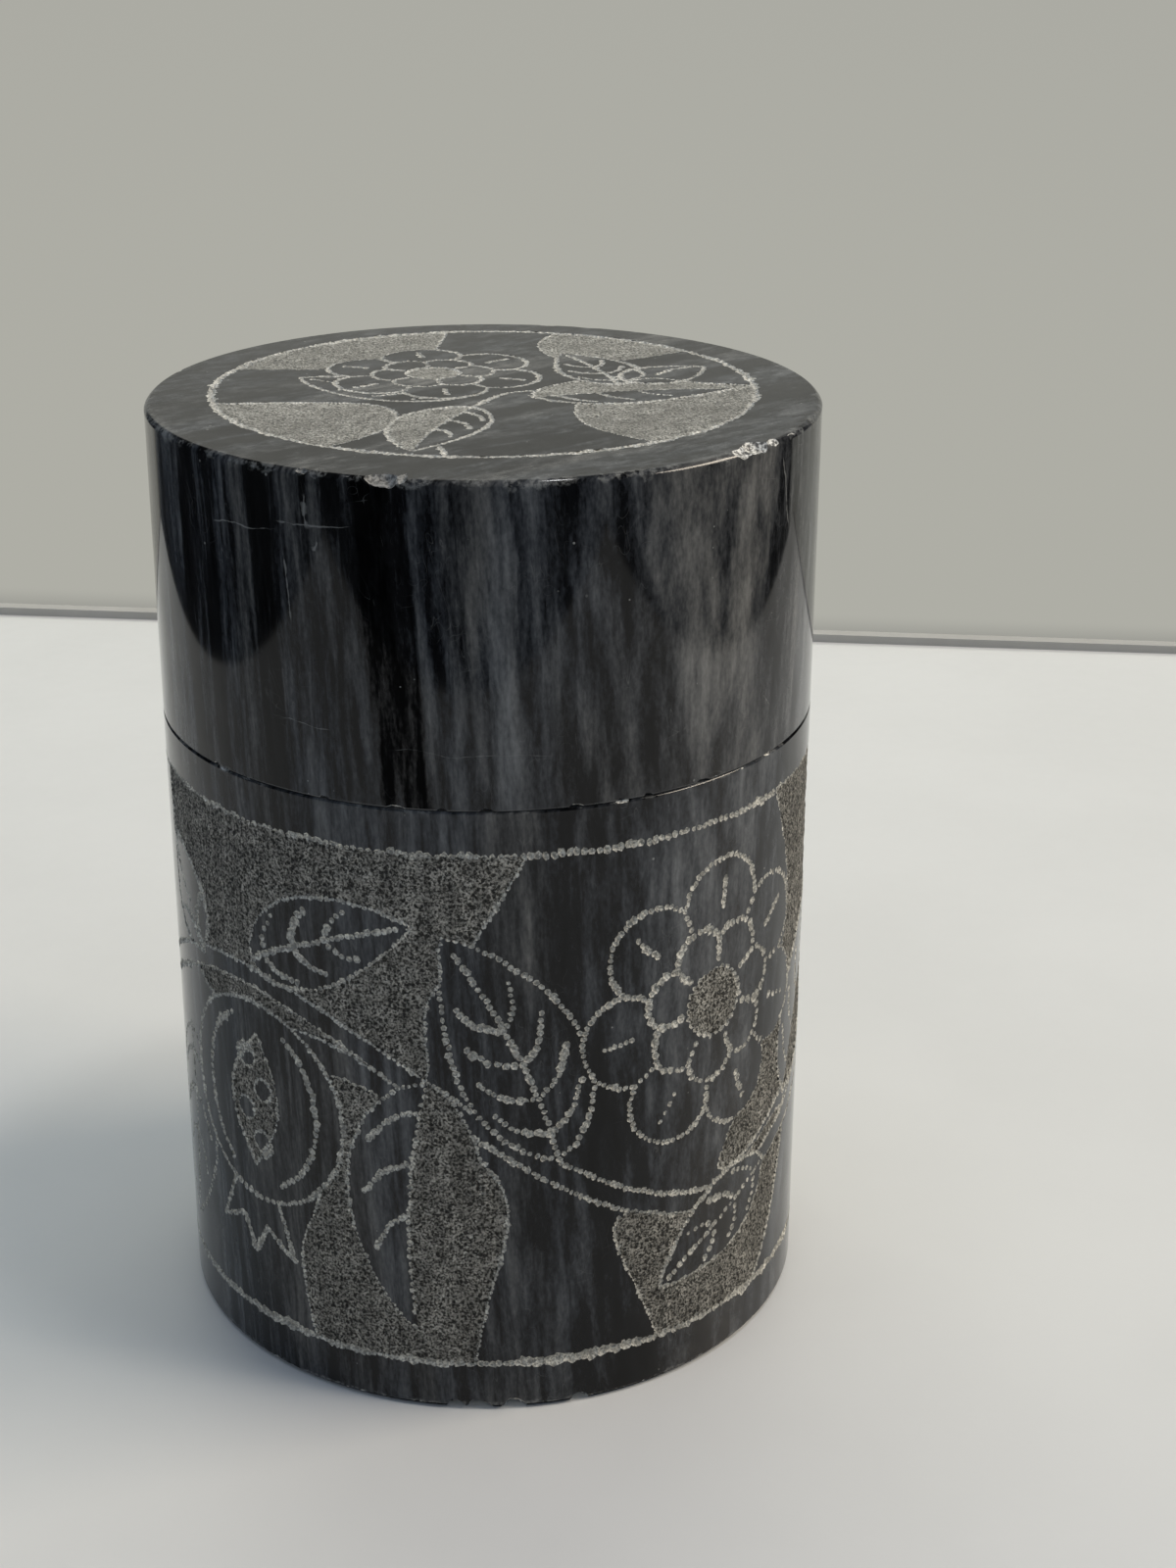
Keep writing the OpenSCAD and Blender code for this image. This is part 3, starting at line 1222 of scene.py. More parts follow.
def shade(mesh: Mesh) -> None:
    """Shades a carved stone smoothly, with sharp creases and sharp rims round what is cut."""
    names = [material.name for material in mesh.materials]
    cut = {i for i, name in enumerate(names) if "struck" in name or "pecked" in name or "broken" in name}
    shape = bmesh.new()
    shape.from_mesh(mesh)
    for face in shape.faces:
        face.smooth = True
    for edge in shape.edges:
        a, b = edge.link_faces
        rim = (a.material_index in cut) != (b.material_index in cut)
        edge.smooth = not (rim or a.normal.angle(b.normal, 0.0) > CREASE)
    shape.to_mesh(mesh)
    shape.free()
    set_wall_normals(mesh, cut)


def numbers_of(items: bpy.types.bpy_prop_collection, name: str) -> np.ndarray:
    """Returns one whole number of every item of a mesh."""
    numbers = np.empty(len(items), int)
    items.foreach_get(name, numbers)
    return numbers


def vectors_of(items: bpy.types.bpy_prop_collection, name: str) -> np.ndarray:
    """Returns one vector of every item of a mesh, in rows."""
    vectors = np.empty(3 * len(items))
    items.foreach_get(name, vectors)
    return vectors.reshape(-1, 3)


def set_wall_normals(mesh: Mesh, cut: set[int]) -> None:
    """Gives upright turned walls the normals of a true cylinder, and level faces upright normals.

    Args:
        mesh: The carved stone, already shaded smoothly.
        cut: The material numbers of what is cut out of it, which keeps its normals.
    """
    upright, nearly_flat = 0.01, 0.9999
    normals, faces = vectors_of(mesh.corner_normals, "vector"), vectors_of(mesh.polygons, "normal")
    totals = numbers_of(mesh.polygons, "loop_total")
    whole = ~np.isin(numbers_of(mesh.polygons, "material_index"), list(cut))
    level = np.repeat(whole & (np.abs(faces[:, 2]) > nearly_flat), totals)
    chosen = np.repeat(whole & (np.abs(faces[:, 2]) < upright), totals)
    out = vectors_of(mesh.vertices, "co")[numbers_of(mesh.loops, "vertex_index")] * (1, 1, 0)
    out /= np.maximum(np.linalg.norm(out, axis=1, keepdims=True), TINY)
    faces = np.repeat(faces, totals, 0)
    out *= np.sign((out * faces).sum(1, keepdims=True))
    normals[chosen] = out[chosen]
    normals[level] = np.sign(faces[level]) * (0, 0, 1)
    mesh.normals_split_custom_set(normals)


# Finishes


class Effects:
    """The shader groups that the finishes share."""

    def __init__(self) -> None:
        """Builds every group once."""
        self.bending = self.build_bending()
        self.bed = self.build_bed()
        self.bedding = self.build_bedding()
        self.pecking = self.build_pecking()
        self.grain = self.build_grain()
        self.marks = self.build_marks()
        self.wear = self.build_wear()
        self.hairline = self.build_hairline()

    @staticmethod
    def build_bending() -> NodeTree:
        """Turns a place to the stone's beds, which lean, wave and are ragged; x runs across them."""
        inputs = {"Place": "Vector", "Level": "Float"}
        s, given, result = new_group("wavy beds", "ShaderNodeTree", inputs, {"Beds": "Vector"})
        feeds = {"Vector": given.outputs["Place"], "Rotation": (0.0, 0.0, BED_TURN)}
        beds = s.add("ShaderNodeMapping", feeds)
        rise = s.minus(s.parts(beds)[2], given.outputs["Level"])
        bend = s.noise(s.vector("MULTIPLY", beds, (0.09, 0.04, 0.011)), detail=1.0)
        ragged = s.noise(s.vector("MULTIPLY", beds, (0.8, 0.3, 0.07)), detail=3.0, roughness=0.6)
        shift = s.times(s.minus(bend, 0.5), 2.4)
        shift = s.plus(shift, s.times(s.minus(ragged, 0.5), 0.8))
        shift = s.plus(shift, s.times(rise, BED_LEAN))
        s.feed(result.inputs["Beds"], s.vector("ADD", beds, s.joined(shift)))
        return s.tree

    @staticmethod
    def build_bed() -> NodeTree:
        """Builds one bed that is darker or paler than the rest."""
        inputs = {"Place": "Vector", "Middle": "Float", "Width": "Float", "Shade": "Float"}
        s, given, result = new_group("one bed", "ShaderNodeTree", inputs, {"Tone": "Float"})
        across = s.parts(given.outputs["Place"])[0]
        away = s.math("ABSOLUTE", s.minus(across, given.outputs["Middle"]))
        share = s.over(away, given.outputs["Width"])
        shade = s.times(s.ramp(share, 0.38, 0.58, 1.0, 0.0), given.outputs["Shade"])
        s.feed(result.inputs["Tone"], shade)
        return s.tree

    @staticmethod
    def build_bedding() -> NodeTree:
        """Builds the stone's colour in millimetres: streaks along the beds round a tone."""
        inputs = {"Place": "Vector", "Shift": "Vector", "Tone": "Float"}
        outputs = {"Colour": "Color", "Tone": "Float"}
        s, given, result = new_group("bedded marble", "ShaderNodeTree", inputs, outputs)
        beds = s.vector("ADD", given.outputs["Place"], given.outputs["Shift"])
        tone = given.outputs["Tone"]
        for scale, detail, share in (
            ((0.15, 0.05, 0.012), 2.0, 0.30),
            ((0.44, 0.17, 0.034), 3.0, 0.76),
            ((1.3, 0.45, 0.10), 3.0, 0.74),
            ((3.2, 2.5, 1.2), 3.0, 0.32),
        ):
            streak = s.noise(s.vector("MULTIPLY", beds, scale), detail=detail, roughness=0.6)
            tone = s.plus(tone, s.times(s.minus(streak, 0.5), share))
        colours = s.add("ShaderNodeValToRGB", {0: tone})
        stops = [
            (0.22, (0.0010, 0.0010, 0.0011)),
            (0.40, (0.0050, 0.0053, 0.0058)),
            (0.49, (0.0190, 0.0203, 0.0220)),
            (0.58, (0.0400, 0.0420, 0.0435)),
            (0.70, (0.0800, 0.0815, 0.0800)),
            (0.90, (0.1600, 0.1610, 0.1540)),
        ]
        ramp = colours.color_ramp
        while len(ramp.elements) < len(stops):
            ramp.elements.new(1.0)
        for element, (place, colour) in zip(ramp.elements, stops):
            element.position, element.color = place, rgba(colour)
        hue = s.noise(s.vector("MULTIPLY", beds, (0.21, 0.02, 0.015)), detail=2.0)
        tint = s.mix(s.ramp(hue, 0.38, 0.62), (0.96, 0.99, 1.04), (1.03, 1.0, 0.96))
        s.feed(result.inputs["Colour"], s.mix(1.0, colours, tint, "MULTIPLY"))
        s.feed(result.inputs["Tone"], tone)
        return s.tree

    @staticmethod
    def build_pecking() -> NodeTree:
        """Builds crushed stone: sandy grains, dark pits between them and paler patches."""
        inputs = {"Place": "Vector", "Grain": "Float", "Pit Spacing": "Float"}
        outputs = {"Shade": "Float", "Height": "Float"}
        s, given, result = new_group("crushed stone", "ShaderNodeTree", inputs, outputs)
        place = given.outputs["Place"]
        sand = s.noise(place, s.over(1.0, given.outputs["Grain"]), 3.0, 0.65)
        grains = s.ramp(sand, 0.36, 0.66)
        near = s.vector("ADD", place, s.scaled(s.noise(place, 2.0).outputs[1], 0.35))
        pits_per_mm = s.over(1.0, given.outputs["Pit Spacing"])
        cells = s.add("ShaderNodeTexVoronoi", {"Vector": near, "Scale": pits_per_mm})
        luck = s.add("ShaderNodeSeparateColor", {0: cells.outputs["Color"]}).outputs[0]
        size = s.ramp(luck, 0.2, 1.0, 0.08, 0.56)
        pit = s.ramp(s.minus(cells, size), -0.14, 0.05, 1.0, 0.0)
        patch = s.ramp(s.noise(place, 0.6, 3.0, 0.6), 0.36, 0.68, 0.7, 1.2)
        shade = s.times(s.times(grains, patch), s.minus(1.0, s.times(pit, 0.85)))
        s.feed(result.inputs["Shade"], shade)
        s.feed(result.inputs["Height"], s.minus(s.times(grains, 0.5), pit))
        return s.tree

    @staticmethod
    def build_grain() -> NodeTree:
        """Builds the sugary grain of broken marble."""
        inputs = {"Place": "Vector", "Size": "Float"}
        outputs = {"Height": "Float", "Pits": "Float"}
        s, given, result = new_group("sugary grain", "ShaderNodeTree", inputs, outputs)
        scale = s.over(1.0, given.outputs["Size"])
        rough = s.noise(given.outputs["Place"], scale, 3.0, 0.7)
        crystal = s.add("ShaderNodeTexVoronoi", {"Vector": given.outputs["Place"], "Scale": scale})
        height = s.plus(s.times(rough, 0.6), s.times(crystal, 0.4))
        s.feed(result.inputs["Height"], height)
        pits = s.noise(given.outputs["Place"], s.times(scale, 0.8), 2.0, 0.6)
        s.feed(result.inputs["Pits"], s.ramp(pits, 0.38, 0.62))
        return s.tree

    @staticmethod
    def build_marks() -> NodeTree:
        """Builds fine straight scratches and tiny white specks, in millimetres."""
        inputs = {"Place": "Vector"}
        outputs = {"Scratches": "Float", "Specks": "Float"}
        s, given, result = new_group("scratches and specks", "ShaderNodeTree", inputs, outputs)
        place = given.outputs["Place"]
        scratches: Feed = 0.0
        for turn, stretch in ((0.4, (0.9, 0.9, 0.03)), (1.9, (0.03, 0.9, 0.9)), (2.7, (0.6, 0.03, 0.6))):
            turned = s.add("ShaderNodeMapping", {"Vector": place, "Rotation": (turn, 0.5 * turn, turn)})
            wavy = s.noise(s.vector("MULTIPLY", turned, stretch), detail=0.0)
            away = s.math("ABSOLUTE", s.minus(wavy, 0.5))
            broken = s.ramp(s.noise(s.vector("ADD", place, (7.0, 3.0, turn)), 0.16, 2.0), 0.58, 0.64)
            line = s.times(s.ramp(away, 0.002, 0.006, 1.0, 0.0), broken)
            scratches = s.math("MAXIMUM", scratches, line)
        s.feed(result.inputs["Scratches"], scratches)
        cells = s.add("ShaderNodeTexVoronoi", {"Vector": place, "Scale": 0.7})
        luck = s.add("ShaderNodeSeparateColor", {0: cells.outputs["Color"]})
        size = s.ramp(luck.outputs[1], 0.2, 1.0, 0.02, 0.12)
        speck = s.ramp(s.minus(cells, size), -0.03, 0.01, 1.0, 0.0)
        s.feed(result.inputs["Specks"], s.times(speck, s.ramp(luck, 0.82, 0.9, 0.0, 0.6)))
        return s.tree

    @staticmethod
    def build_wear() -> NodeTree:
        """Builds the pale bruises along a round edge, whose radius and height are given in millimetres."""
        inputs = {"Place": "Vector", "Radius": "Float", "Edge Height": "Float", "Reach": "Float"}
        s, given, result = new_group("edge wear", "ShaderNodeTree", inputs, {"Bruises": "Float"})
        place = given.outputs["Place"]
        radius = s.vector("LENGTH", s.vector("MULTIPLY", place, (1.0, 1.0, 0.0)))
        in_or_out = s.minus(radius, given.outputs["Radius"])
        up_or_down = s.minus(s.parts(place)[2], given.outputs["Edge Height"])
        away = s.vector("LENGTH", s.joined(in_or_out, up_or_down))
        uneven = s.ramp(s.noise(place, 0.28, 3.0, 0.6), 0.38, 0.7, 0.12, 1.6)
        reach = s.times(given.outputs["Reach"], uneven)
        near = s.ramp(s.over(away, reach), 0.35, 1.0, 1.0, 0.0)
        broken = s.ramp(s.noise(place, 1.5, 4.0, 0.7), 0.42, 0.6)
        s.feed(result.inputs["Bruises"], s.times(near, broken))
        return s.tree

    @staticmethod
    def build_hairline() -> NodeTree:
        """Builds one thin white vein through a centre, across a direction, as far as it reaches."""
        inputs = dict.fromkeys(("Place", "Centre", "Across"), "Vector") | {"Reach": "Float", "Width": "Float"}
        s, given, result = new_group("hairline vein", "ShaderNodeTree", inputs, {"Vein": "Float"})
        place = given.outputs["Place"]
        from_centre = s.vector("SUBTRACT", place, given.outputs["Centre"])
        across = s.vector("DOT_PRODUCT", from_centre, given.outputs["Across"])
        wander = s.times(s.minus(s.noise(place, 0.22, 3.0), 0.5), 1.6)
        away = s.math("ABSOLUTE", s.plus(across, wander))
        width = s.times(given.outputs["Width"], s.ramp(s.noise(place, 0.9), 0.35, 0.65, 0.2, 1.5))
        line = s.minus(1.0, s.over(away, width), clamp=True)
        share = s.over(s.vector("LENGTH", from_centre), given.outputs["Reach"])
        s.feed(result.inputs["Vein"], s.times(line, s.ramp(share, 0.7, 1.0, 1.0, 0.0)))
        return s.tree


@dataclass(frozen=True)
class Hairline:
    """A thin white vein on a wall, in millimetres, which slopes from level by so many degrees."""

    along: float
    height: float
    slope: float
    reach: float
    width: float

    def feeds(self, radius: float) -> Feeds:
        """Returns what the shader group needs to draw the vein on a wall of a given radius."""
        turn, slope = self.along / radius, math.radians(self.slope)
        centre = (radius * math.sin(turn), -radius * math.cos(turn), self.height)
        across = (-math.sin(slope) * math.cos(turn), -math.sin(slope) * math.sin(turn), math.cos(slope))
        return {"Centre": centre, "Across": across, "Reach": self.reach, "Width": self.width}


@dataclass(frozen=True)
class Bed:
    """A bed that stands out: its middle and width across the beds, in mm, and how much paler it is."""

    middle: float
    width: float
    shade: float


@dataclass(frozen=True)
class Block:
    """The block that a stone is cut from, in millimetres: its beds, its veins and its worn edges.

    The tone of the stone between its beds runs from 0 for black to 1 for pale grey. The beds lean, so
    their places are those at one level. An edge is given by its height and by how far its wear reaches.
    A dull bed holds little wax on the wall below the top, and its shade says how much it lacks.
    """

    shift: Place
    tone: float
    level: float
    top: float
    beds: tuple[Bed, ...]
    radius: float
    edges: tuple[tuple[float, float], ...]
    veins: tuple[Hairline, ...] = ()
    dull_beds: tuple[Bed, ...] = ()


class MaterialSketch(Sketch):
    """A sketch of a material, with its shader and the place on the object, in millimetres, ready."""

    def __init__(self, name: str) -> None:
        """Starts the material."""
        self.material = bpy.data.materials.new(name)
        self.material.use_nodes = True
        super().__init__(self.material.node_tree)
        self.shader = self.tree.nodes["Principled BSDF"]
        self.place = self.scaled(self.add("ShaderNodeTexCoord").outputs["Object"], 1 / MM)

    def bump(self, height: Feed, distance: float, strength: float = 1.0) -> None:
        """Feeds the shader a bump from heights, which are a share of a distance in metres."""
        feeds = {"Height": height, "Distance": distance, "Strength": strength}
        self.feed(self.shader.inputs["Normal"], self.add("ShaderNodeBump", feeds))

    def surface(self, colour: Feed, roughness: Feed) -> None:
        """Feeds the shader its colour and roughness."""
        self.feed(self.shader.inputs["Base Color"], rgba(colour))
        self.feed(self.shader.inputs["Roughness"], roughness)


class StoneSketch(MaterialSketch):
    """A sketch of one finish of a block of stone, with its beds ready."""

    def __init__(self, name: str, effects: Effects, block: Block) -> None:
        """Starts the material of a finish on a block."""
        super().__init__(name)
        self.effects = effects
        self.block = block
        self.bent = self.group(effects.bending, {"Level": block.level}).outputs[0]
        tone = self.add_beds(block.tone, block.beds)
        self.beds = self.group(effects.bedding, {"Place": self.bent, "Shift": block.shift, "Tone": tone})

    def add_beds(self, value: Feed, beds: Sequence[Bed]) -> Feed:
        """Adds the shades of some beds to a value."""
        for bed in beds:
            feeds = {"Place": self.bent, "Middle": bed.middle, "Width": bed.width, "Shade": bed.shade}
            value = self.plus(value, self.group(self.effects.bed, feeds))
        return value

    def group(self, tree: NodeTree, feeds: Feeds) -> Node:
        """Places a shared effect at the surface's own place."""
        node = self.tree.nodes.new("ShaderNodeGroup")
        node.node_tree = tree
        for key, value in {"Place": self.place, **feeds}.items():
            self.feed(node.inputs[key], value)
        return node


class StoneFinish:
    """A finish of the stone. Each kind knows how to dress its own material."""

    def dress(self, s: StoneSketch) -> None:
        """Feeds the material's shader."""
        raise NotImplementedError

    def material(self, name: str, effects: Effects, block: Block) -> Material:
        """Returns the finish's material on a block."""
        sketch = StoneSketch(name, effects, block)
        self.dress(sketch)
        return sketch.material


@dataclass(frozen=True)
class PolishedMarble(StoneFinish):
    """Dark marble under a worn wax polish, which dull beds and bruises have lost."""

    wax_roughness: float = 0.055
    wax_ior: float = 1.36
    stone_roughness: float = 0.4
    stone_ior: float = 1.03
    pale: Colour = (0.40, 0.40, 0.37)
    dust: Colour = (0.30, 0.31, 0.30)
    scratch_share: float = 0.12
    vein_share: float = 0.5
    bruise_share: float = 0.38

    def dull(self, s: StoneSketch) -> NodeSocket:
        """Returns how much wax the dull beds lack, which is most where the wall below the top is dark."""
        wall = s.ramp(s.parts(s.place)[2], s.block.top - 1, s.block.top - 0.4, 1.0, 0.0)
        dark = s.ramp(s.beds.outputs["Tone"], 0.27, 0.46, 1.0, 0.0)
        return s.times(s.times(s.add_beds(0.0, s.block.dull_beds), wall), dark)

    def blemishes(self, s: StoneSketch) -> NodeSocket:
        """Returns where scratches, specks, veins and bruised edges make the stone paler."""
        block, effects = s.block, s.effects
        marks = s.group(effects.marks, {})
        scratches = s.times(marks.outputs["Scratches"], self.scratch_share)
        pale = s.math("MAXIMUM", scratches, marks.outputs["Specks"])
        for vein in block.veins:
            line = s.group(effects.hairline, vein.feeds(block.radius))
            pale = s.math("MAXIMUM", pale, s.times(line, self.vein_share))
        for height, reach in block.edges:
            feeds = {"Radius": block.radius, "Edge Height": height, "Reach": reach}
            pale = s.math("MAXIMUM", pale, s.times(s.group(effects.wear, feeds), self.bruise_share))
        return pale

    def dress(self, s: StoneSketch) -> None:
        """Feeds the material's shader."""
        s.shader.inputs["IOR"].default_value = self.stone_ior
        s.shader.inputs["Coat IOR"].default_value = self.wax_ior
        s.shader.inputs["Coat Roughness"].default_value = self.wax_roughness
        pale = self.blemishes(s)
        haze = s.ramp(s.noise(s.place, 0.07, 4.0, 0.6), 0.4, 0.66)
        fine = s.ramp(s.noise(s.place, 1.3, 3.0), 0.3, 0.7)
        colour = s.mix(s.times(pale, 0.8), s.beds.outputs["Colour"], self.pale)
        colour = s.mix(s.times(haze, 0.012), colour, self.dust)
        s.surface(colour, s.ramp(fine, 0.0, 1.0, self.stone_roughness - 0.05, self.stone_roughness + 0.1))
        bare = s.times(pale, 0.7)
        if s.block.dull_beds:
            bare = s.plus(self.dull(s), bare)
        wax = s.minus(s.ramp(haze, 0.0, 1.0, 1.0, 0.88), bare, clamp=True)
        s.feed(s.shader.inputs["Coat Weight"], wax)
        s.bump(s.noise(s.place, 0.35, 5.0, 0.62), 0.05 * MM, 0.35)


@dataclass(frozen=True)
class HonedMarble(StoneFinish):
    """Marble as the turning tool left it, inside the bore and under the base."""

    ring_pitch: float = 0.55
    roughness: float = 0.5
    dust: Colour = (0.16, 0.16, 0.155)
    cut: Colour = (0.10, 0.102, 0.10)

    def dress(self, s: StoneSketch) -> None:
        """Feeds the material's shader."""
        radius = s.vector("LENGTH", s.vector("MULTIPLY", s.place, (1.0, 1.0, 0.0)))
        along = s.plus(radius, s.parts(s.place)[2])
        rings = s.math("SINE", s.times(along, FULL_TURN / self.ring_pitch))
        grain = s.group(s.effects.grain, {"Size": 0.7})
        worn = s.ramp(s.noise(s.place, 0.12, 4.0), 0.35, 0.65)
        dusty = s.mix(s.times(worn, 0.35), s.beds.outputs["Colour"], self.dust)
        rough = s.ramp(grain.outputs["Height"], 0.2, 0.8, self.roughness - 0.08, self.roughness + 0.14)
        s.surface(s.mix(0.25, dusty, self.cut), rough)
        s.bump(s.plus(s.times(rings, 0.18), grain.outputs["Height"]), 0.03 * MM, 0.6)


@dataclass(frozen=True)
class PeckedMarble(StoneFinish):
    """Marble bruised by the punch: sandy pale grains with dark pits between them."""

    dark: Colour
    pale: Colour
    grain: float = 0.27
    pit_spacing: float = 0.50
    relief: float = 0.12
    ior: float = 1.25

    def dress(self, s: StoneSketch) -> None:
        """Feeds the material's shader."""
        pecks = s.group(s.effects.pecking, {"Grain": self.grain, "Pit Spacing": self.pit_spacing})
        bright = s.ramp(s.beds.outputs["Tone"], 0.36, 0.62, 0.7, 1.0)
        s.shader.inputs["IOR"].default_value = self.ior
        colour = s.mix(s.times(pecks, bright), self.dark, self.pale)
        s.surface(colour, s.ramp(pecks, 0.0, 1.0, 0.7, 0.92))
        s.bump(pecks.outputs["Height"], self.relief * MM, 0.7)


@dataclass(frozen=True)
class BrokenMarble(StoneFinish):
    """Marble broken at a chip, pale and sugary, with painted light on the right and painted shade high on the
    left.
    """

    grain: float = 0.3
    dark: Colour = (0.10, 0.10, 0.095)
    pale: Colour = (0.86, 0.84, 0.76)
    # Where chips get painted light, paler to the right, and painted shade, darker on the left near the top,
    # in mm
    painted_light_across: Point = (2.0, 16.0)
    painted_shade_heights: Point = (103.5, 106.5)
    painted_shade_shares: Point = (0.75, 0.28)

    def dress(self, s: StoneSketch) -> None:
        """Feeds the material's shader."""
        grain = s.group(s.effects.grain, {"Size": self.grain})
        rough = s.ramp(grain.outputs["Height"], 0.2, 0.8, 0.5, 0.8)
        x, _, z = s.parts(s.place)
        # Painted shade darkens chips on the left near the top; painted light makes chips paler to the right.
        shaded_share = s.ramp(z, *self.painted_shade_heights, *self.painted_shade_shares)
        lit_share = s.math("MAXIMUM", shaded_share, s.ramp(x, *self.painted_light_across))
        s.surface(s.mix(s.times(grain.outputs["Pits"], lit_share), self.dark, self.pale), rough)
        s.bump(grain.outputs["Height"], 0.1 * MM, 0.7)


@dataclass(frozen=True)
class ShadePaintedMarble(StoneFinish):
    """Marble at the foot's bevel, painted near black and without shine, as painted shade where the foot meets
    the table.
    """

    roughness: float = 0.8
    ior: float = 1.06
    # Painted shade: near black on the bevel, where the foot meets the table
    black: Colour = (0.004, 0.004, 0.004)
    lighter_patches: Colour = (0.03, 0.03, 0.028)

    def dress(self, s: StoneSketch) -> None:
        """Feeds the material's shader."""
        s.shader.inputs["IOR"].default_value = self.ior
        grain = s.group(s.effects.grain, {"Size": 0.6})
        lighter_patches = s.times(s.ramp(s.noise(s.place, 0.5, 3.0), 0.55, 0.75), grain.outputs["Pits"])
        rough = s.ramp(grain.outputs["Height"], 0.2, 0.8, self.roughness - 0.1, self.roughness + 0.1)
        s.surface(s.mix(lighter_patches, self.black, self.lighter_patches), rough)
        s.bump(grain.outputs["Height"], 0.05 * MM, 0.6)


def stone_materials(
    piece: str, effects: Effects, block: Block, struck: PeckedMarble, ground: PeckedMarble
) -> dict[Finish, Material]:
    """Returns the finishes of one block of stone.

    Args:
        piece: Name of the piece.
        effects: The shared shader groups.
        block: The block that the piece is cut from.
        struck: The finish of the punched lines.
        ground: The finish of the pecked ground.

    Returns:
        A material for each finish.
    """
    looks: dict[Finish, tuple[str, StoneFinish]] = {
        Finish.POLISHED: ("polished", PolishedMarble()),
        Finish.HONED: ("honed", HonedMarble()),
        Finish.STRUCK: ("struck", struck),
        Finish.GROUND: ("pecked", ground),
        Finish.BROKEN: ("broken", BrokenMarble()),
        Finish.GRIMY: ("grimy", ShadePaintedMarble()),
    }
    return {
        finish: look.material(f"{word} marble {piece}", effects, block)
        for finish, (word, look) in looks.items()
    }


# The two stones


@dataclass
class Pot:
    """The lower stone: an engraved wall, a shoulder, a neck and a bore."""

    shoulder: float
    neck_radius: float = 32.6 * MM
    bore_radius: float = 29.0 * MM
    floor: float = 9.0 * MM
    floor_round: float = 4.0 * MM
    neck_root: float = 0.3 * MM
    base_bevel: float = 0.6 * MM
    seam_round: float = 0.25 * MM
    rim_round: float = 0.7 * MM
    border_low: float = 6.2
    border_drop: float = 5.0
    punch: Punch = Punch()
    struck: PeckedMarble = PeckedMarble((0.22, 0.215, 0.19), (0.76, 0.73, 0.63))
    ground: PeckedMarble = PeckedMarble((0.016, 0.0155, 0.0135), (0.42, 0.40, 0.345))
    radius: float = field(init=False)
    rim: float = field(init=False)

    def __post_init__(self) -> None:
        """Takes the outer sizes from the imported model."""
        _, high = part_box("pot")
        self.radius, self.rim = high[0], high[2]

    def corners(self) -> list[Corner]:
        """Returns the half section."""
        honed = Finish.HONED
        return [
            Corner(0, 0, 0, honed),
            # The foot's bevel gets painted shade
            Corner(self.radius - self.base_bevel, 0, 0, Finish.GRIMY),
            Corner(self.radius, self.base_bevel),
            Corner(self.radius, self.shoulder, self.seam_round, honed),
            Corner(self.neck_radius, self.shoulder, self.neck_root, honed),
            Corner(self.neck_radius, self.rim, self.rim_round, honed),
            Corner(self.bore_radius, self.rim, self.rim_round, honed),
            Corner(self.bore_radius, self.floor, self.floor_round, honed),
            Corner(0, self.floor, 0, honed),
        ]

    def edges(self) -> tuple[Edge, ...]:
        """Returns the outer edges with their chips."""
        base = (
            Chip(-2, 3.6, 1.4, 2.8),
            Chip(-4.6, 2.4, 1.1, 1.8),
            Chip(2.0, 3.2, 1.1, 1.6),
            Chip(9.5, 2.2, 1.0, 1.5),
            Chip(61, 2.4, 0.5, 0.7),
            Chip(-83, 4, 0.6, 1.0),
        )
        seam = (
            Chip(-32, 2.4, 0.3, 0.5),
            Chip(14, 1.8, 0.3, 0.4),
            Chip(35, 1.5, 0.3, 0.5),
            Chip(95, 2.6, 0.4, 0.6),
        )
        base_edge = Edge(self.radius, self.base_bevel, False, base, 70)
        return (base_edge, Edge(self.radius, self.shoulder, True, seam, 36))

    def block(self) -> Block:
        """Returns the block that the pot is cut from."""
        beds = (
            Bed(0.0, 4.0, -0.04),
            Bed(11.0, 3.2, -0.05),
            Bed(20.5, 4.0, 0.03),
            Bed(33.0, 3.6, -0.08),
            Bed(36.6, 1.6, 0.08),
        )
        seam = self.shoulder / MM
        return Block(
            shift=(0.0, 0.0, 0.0),
            tone=0.515,
            level=71.0,
            top=seam,
            beds=beds,
            radius=self.radius / MM,
            edges=((seam, 0.35), (self.base_bevel / MM, 0.5)),
        )

    def build(self, lathe: Lathe, effects: Effects) -> Object:
        """Turns and carves the stone.

        Args:
            lathe: Turns the blank.
            effects: The shader groups for its finishes.

        Returns:
            The finished stone.
        """
        radius, high = self.radius / MM, self.shoulder / MM - self.border_drop
        design = WallDesign(FULL_TURN * radius, self.border_low, high).composed()
        materials = stone_materials("pot", effects, self.block(), self.struck, self.ground)
        carving = Carving(Surface.WALL, self.radius, self.rim, design, self.edges(), self.punch, materials)
        piece = carving.carve(lathe.turned("pot blank", self.corners()), "marble_pot")
        shade(piece.data)
        return piece

    def dress(self, piece: Object) -> None:
        """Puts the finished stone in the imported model's place."""
        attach(piece, "pot")
        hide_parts("pot")


